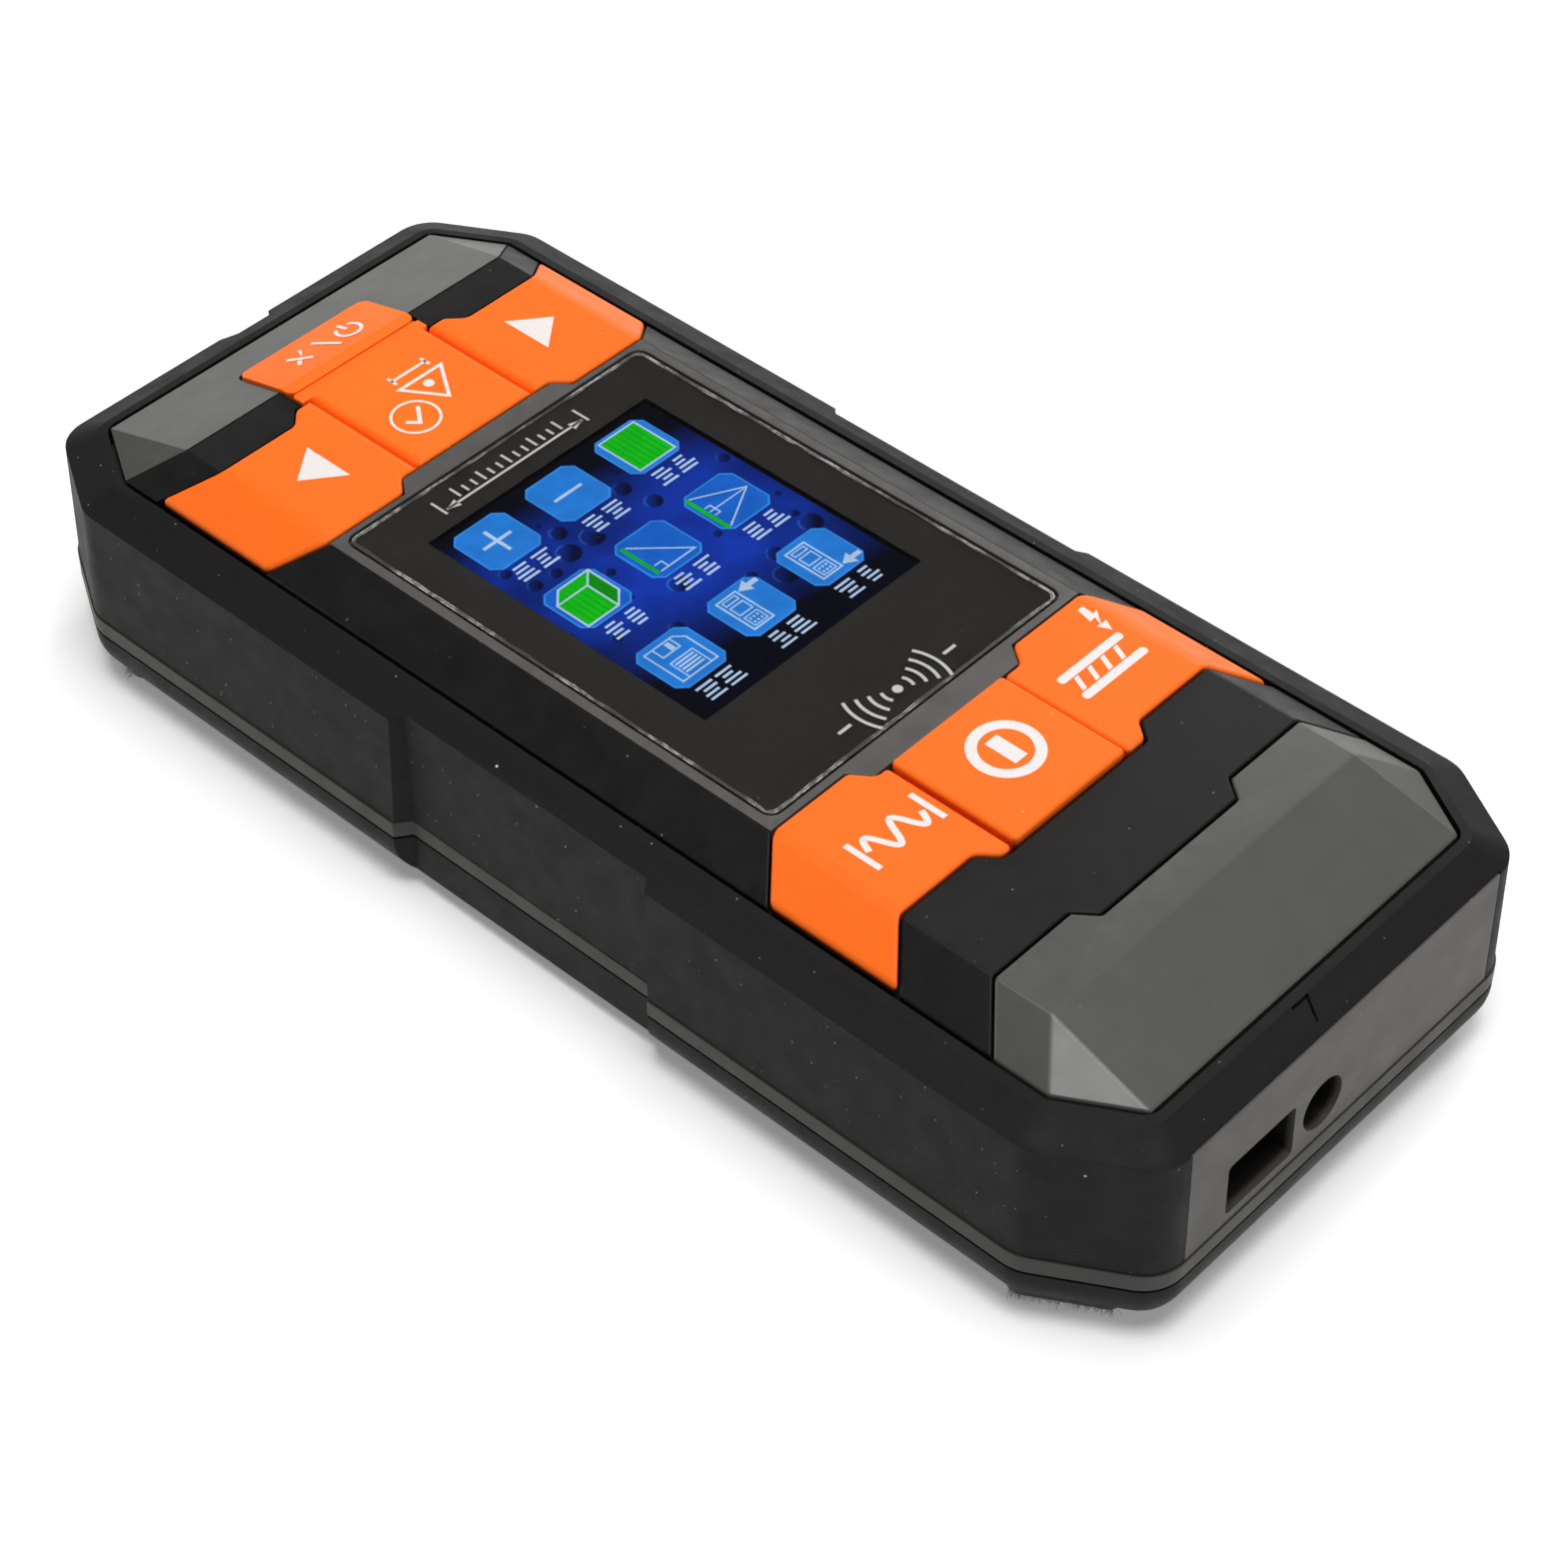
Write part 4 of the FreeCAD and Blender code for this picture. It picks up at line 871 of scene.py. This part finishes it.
def key_symbols():
    power = ring(0.0, -30.3, 3.55, 2.5) + bar(0.0, -30.3, 1.6, 3.5)
    wave = moved(stroke(wave_points(6.6, 2.7, 2), 0.62), -13.5, -29.6)
    wave += bar(-17.6, -29.6, 0.62, 4.0) + bar(-9.4, -29.6, 0.62, 4.0)
    rod = rounded_bar(14.1, -30.9, 8.6, 0.9, 0.4) + rounded_bar(14.1, -28.1, 8.6, 0.9, 0.4)
    ribs = [[(x, -30.3), (x + 0.55, -30.3), (x + 1.25, -28.7), (x + 0.7, -28.7)]
            for x in (10.4, 12.2, 14.0, 15.8)]
    bolt = [[(18.2, -23.3), (17.8, -25.1), (18.5, -25.0), (18.1, -26.1), (19.4, -24.5), (18.8, -24.6),
             (18.9, -23.3)], [(17.7, -25.9), (18.9, -26.0), (18.3, -27.2)]]
    left = [[(-16.6, 41.1), (-12.7, 38.1), (-12.7, 44.0)]]
    right = [[(16.9, 41.1), (13.1, 44.1), (13.1, 38.1)]]
    measure = stroke([(-1.05, 43.85), (4.35, 43.85), (1.6, 39.8)], 0.36, True) + disc(1.6, 42.6, 0.55)
    measure += ring(-2.75, 39.8, 2.5, 2.22) + stroke([(-3.95, 39.9), (-3.05, 38.9), (-1.55, 40.8)], 0.42)
    measure += bar(1.5, 45.3, 4.5, 0.32) + bar(-0.65, 45.3, 0.32, 1.3) + bar(3.65, 45.3, 0.32, 1.3)
    rows = {
        "key_power": power, "key_live_detect": wave, "key_metal_detect": rod + ribs + bolt,
        "key_left": left, "key_right": right, "key_measure": measure,
    }
    for node, shapes in rows.items():
        flat_piece(node + "_symbol", moved(shapes, 0, 0, MM), key_top(node), PRINT_WHITE, BODY_OF[node])
    clear_symbol()


def clear_symbol():
    """Cross, stroke and off-mark on the sloped part of the clear key."""
    low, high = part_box("key_clear")
    drop = (25.75 - 22.75) / (63.0 - 52.2)

    def slope(x, y):
        return high.z + PRINT_CLEAR - max(0.0, y - FAR_CREASE_Y) * drop

    shapes = [[(-4.55, 56.05), (-4.25, 56.35), (-2.55, 54.35), (-2.85, 54.05)]]
    shapes += [[(-4.55, 54.35), (-4.25, 54.05), (-3.65, 54.75), (-3.95, 55.05)],
               [(-3.15, 55.35), (-2.85, 55.65), (-2.25, 56.35), (-2.55, 56.65)]]
    shapes += stroke([(-0.9, 56.5), (0.5, 53.6)], 0.38)
    shapes += ring(2.7, 55.05, 1.45, 1.08, 125, 415, 30) + bar(2.7, 56.05, 0.38, 1.4)
    flat_piece("key_clear_symbol", moved(shapes, 0, 0, MM), 0, PRINT_WHITE, BODY_OF["key_clear"],
               surface=slope)


def lens_symbols():
    """Fine print on the lens: a distance scale at the far edge, sensing waves at the near edge."""
    height = LENS_HIGH.z + PRINT_CLEAR
    line = 0.26
    scale = bar(-1.0, 28.3, 17.6, line) + [[(-9.8, 28.3), (-8.4, 27.75), (-8.4, 28.85)],
                                           [(7.8, 28.3), (6.4, 28.85), (6.4, 27.75)]]
    for tick in range(13):
        scale += bar(-7.6 + 1.1 * tick, 29.3 if tick % 3 else 29.5, line, 1.0 if tick % 3 else 1.5)
    scale += bar(-10.2, 28.9, line, 2.2) + bar(8.2, 28.9, line, 2.2)
    waves = disc(0.0, -18.0, 0.5)
    for reach in (1.7, 2.9, 4.1, 5.3):
        waves += ring(0, -18.0, reach, reach - 0.34, -27, 27, 10)
        waves += ring(0, -18.0, reach, reach - 0.34, 153, 207, 10)
    waves += bar(-6.9, -18.0, 1.6, 0.34) + bar(6.9, -18.0, 1.6, 0.34)
    flat_piece("lens_scale_mark", moved(scale, 0, 0, MM), height, PRINT_PALE, "housing")
    flat_piece("lens_wave_mark", moved(waves, 0, 0, MM), height, PRINT_PALE, "housing")


# ---- felt pads --------------------------------------------------------------------------
def felt_fuzz():
    """Loose fibres along the outer edge of each pad, as thin bent ribbons."""
    work = bmesh.new()
    spread = 0.16 * MM
    for sx in (-1, 1):
        for sy in (-1, 1):
            start = Vector((sx * 28.1, sy * 55.4, 0.9)) * MM
            end = Vector((sx * 23.4, sy * 63.5, 0.9)) * MM
            out = Vector((sx * 0.863, sy * 0.5055, 0.0))
            along = (end - start).normalized()
            for _ in range(320):
                root = start.lerp(end, random.random()) + Vector((0, 0, random.uniform(-0.8, 0.2) * MM))
                lean = out * random.uniform(0.2, 1.0) + along * random.uniform(-0.9, 0.9)
                tip = root + lean.normalized() * random.uniform(0.3, 1.0) * MM
                tip.z = max(0.02 * MM, root.z + random.uniform(-0.45, 0.12) * MM)
                bend = (root + tip) / 2 + Vector((0, 0, random.uniform(0.0, spread)))
                half = along * 0.014 * MM
                lift = Vector((0, 0, 0.02 * MM))
                rows = [[work.verts.new(p) for p in (spot - half, spot + half, spot + lift)]
                        for spot in (root, bend, tip)]
                for a, b in zip(rows, rows[1:]):
                    for i in range(3):
                        j = (i + 1) % 3
                        work.faces.new((a[i], a[j], b[j], b[i]))
                work.faces.new(reversed(rows[0]))
                work.faces.new(rows[-1])
    bmesh.ops.recalc_face_normals(work, faces=work.faces)
    mesh = bpy.data.meshes.new("felt_fibres")
    work.to_mesh(mesh)
    work.free()
    fibres = new_object("felt_fibres", mesh, MATERIALS["felt"])
    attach(fibres, "housing")


def inner_materials():
    """CAD nodes that stay as they are get their finished material."""
    for node, thing in NODES.items():
        if not thing.hide_render:
            thing.data.materials.clear()
            thing.data.materials.append(MATERIALS[SLOT_OF[node]])


lens_print()
screen_picture()
key_symbols()
lens_symbols()
felt_fuzz()
inner_materials()


# ---- stage ------------------------------------------------------------------------------
def stage():
    mesh = bpy.data.meshes.new("floor")
    reach = 3.0
    mesh.from_pydata([(-reach, -reach, 0), (reach, -reach, 0), (reach, reach, 0), (-reach, reach, 0)], [],
                     [(0, 1, 2, 3)])
    floor = new_object("floor", mesh, floor_material())


def studio_world():
    """White at the horizon, dim overhead, so the lamps shape the light."""
    world = bpy.data.worlds.new("studio")
    world.use_nodes = True
    tree = world.node_tree
    place = tree.nodes.new("ShaderNodeTexCoord").outputs["Generated"]
    axes = tree.nodes.new("ShaderNodeSeparateXYZ")
    tree.links.new(place, axes.inputs["Vector"])
    fade = tree.nodes.new("ShaderNodeMapRange")
    fade.interpolation_type = "SMOOTHSTEP"
    for socket, value in zip(fade.inputs[1:5], (0.02, 0.34, WORLD_HORIZON, WORLD_TOP)):
        socket.default_value = value
    tree.links.new(axes.outputs["Z"], fade.inputs["Value"])
    tree.links.new(fade.outputs["Result"], tree.nodes["Background"].inputs["Strength"])
    tree.nodes["Background"].inputs["Color"].default_value = (1.0, 1.0, 1.0, 1.0)
    bpy.context.scene.world = world
    bpy.context.scene.view_settings.view_transform = "Standard"


def softbox(name, place, target, size, power):
    light = bpy.data.lights.new(name, "AREA")
    light.shape = "RECTANGLE"
    light.size, light.size_y = size
    light.energy = power
    lamp = bpy.data.objects.new(name, light)
    lamp.location = place
    lamp.rotation_euler = (Vector(target) - Vector(place)).to_track_quat("-Z", "Y").to_euler()
    bpy.context.scene.collection.objects.link(lamp)


def camera():
    """Three-quarter view from above the laser end, at product-photo distance."""
    place = Vector((-183.85, -173.04, 250.47)) * MM
    target = Vector((-11.13, -14.79, 20.0)) * MM
    lens = bpy.data.cameras.new("camera")
    lens.lens = 86.76
    lens.sensor_width = 36.0
    lens.clip_start = 0.01
    viewer = bpy.data.objects.new("camera", lens)
    viewer.location = place
    viewer.rotation_euler = (target - place).to_track_quat("-Z", "Y").to_euler()
    bpy.context.scene.collection.objects.link(viewer)
    bpy.context.scene.camera = viewer


stage()
studio_world()
softbox("top_light", (-0.06, -0.08, 0.97), (0, 0, 0.02), (0.55, 0.55), 8.8)
softbox("right_light", (0.88, 0.24, 0.54), (0, 0, 0.02), (0.45, 0.35), 3.2)
softbox("back_panel", (0.95, 1.00, 0.30), (0, 0, 0.02), (1.1, 0.5), 2.6)
softbox("front_light", (0.25, -0.90, 0.25), (0, 0, 0.02), (0.7, 0.3), 1.9)
softbox("left_light", (-0.38, 0.62, 0.10), (-0.02, 0.06, 0.02), (0.3, 0.16), 1.15)
camera()
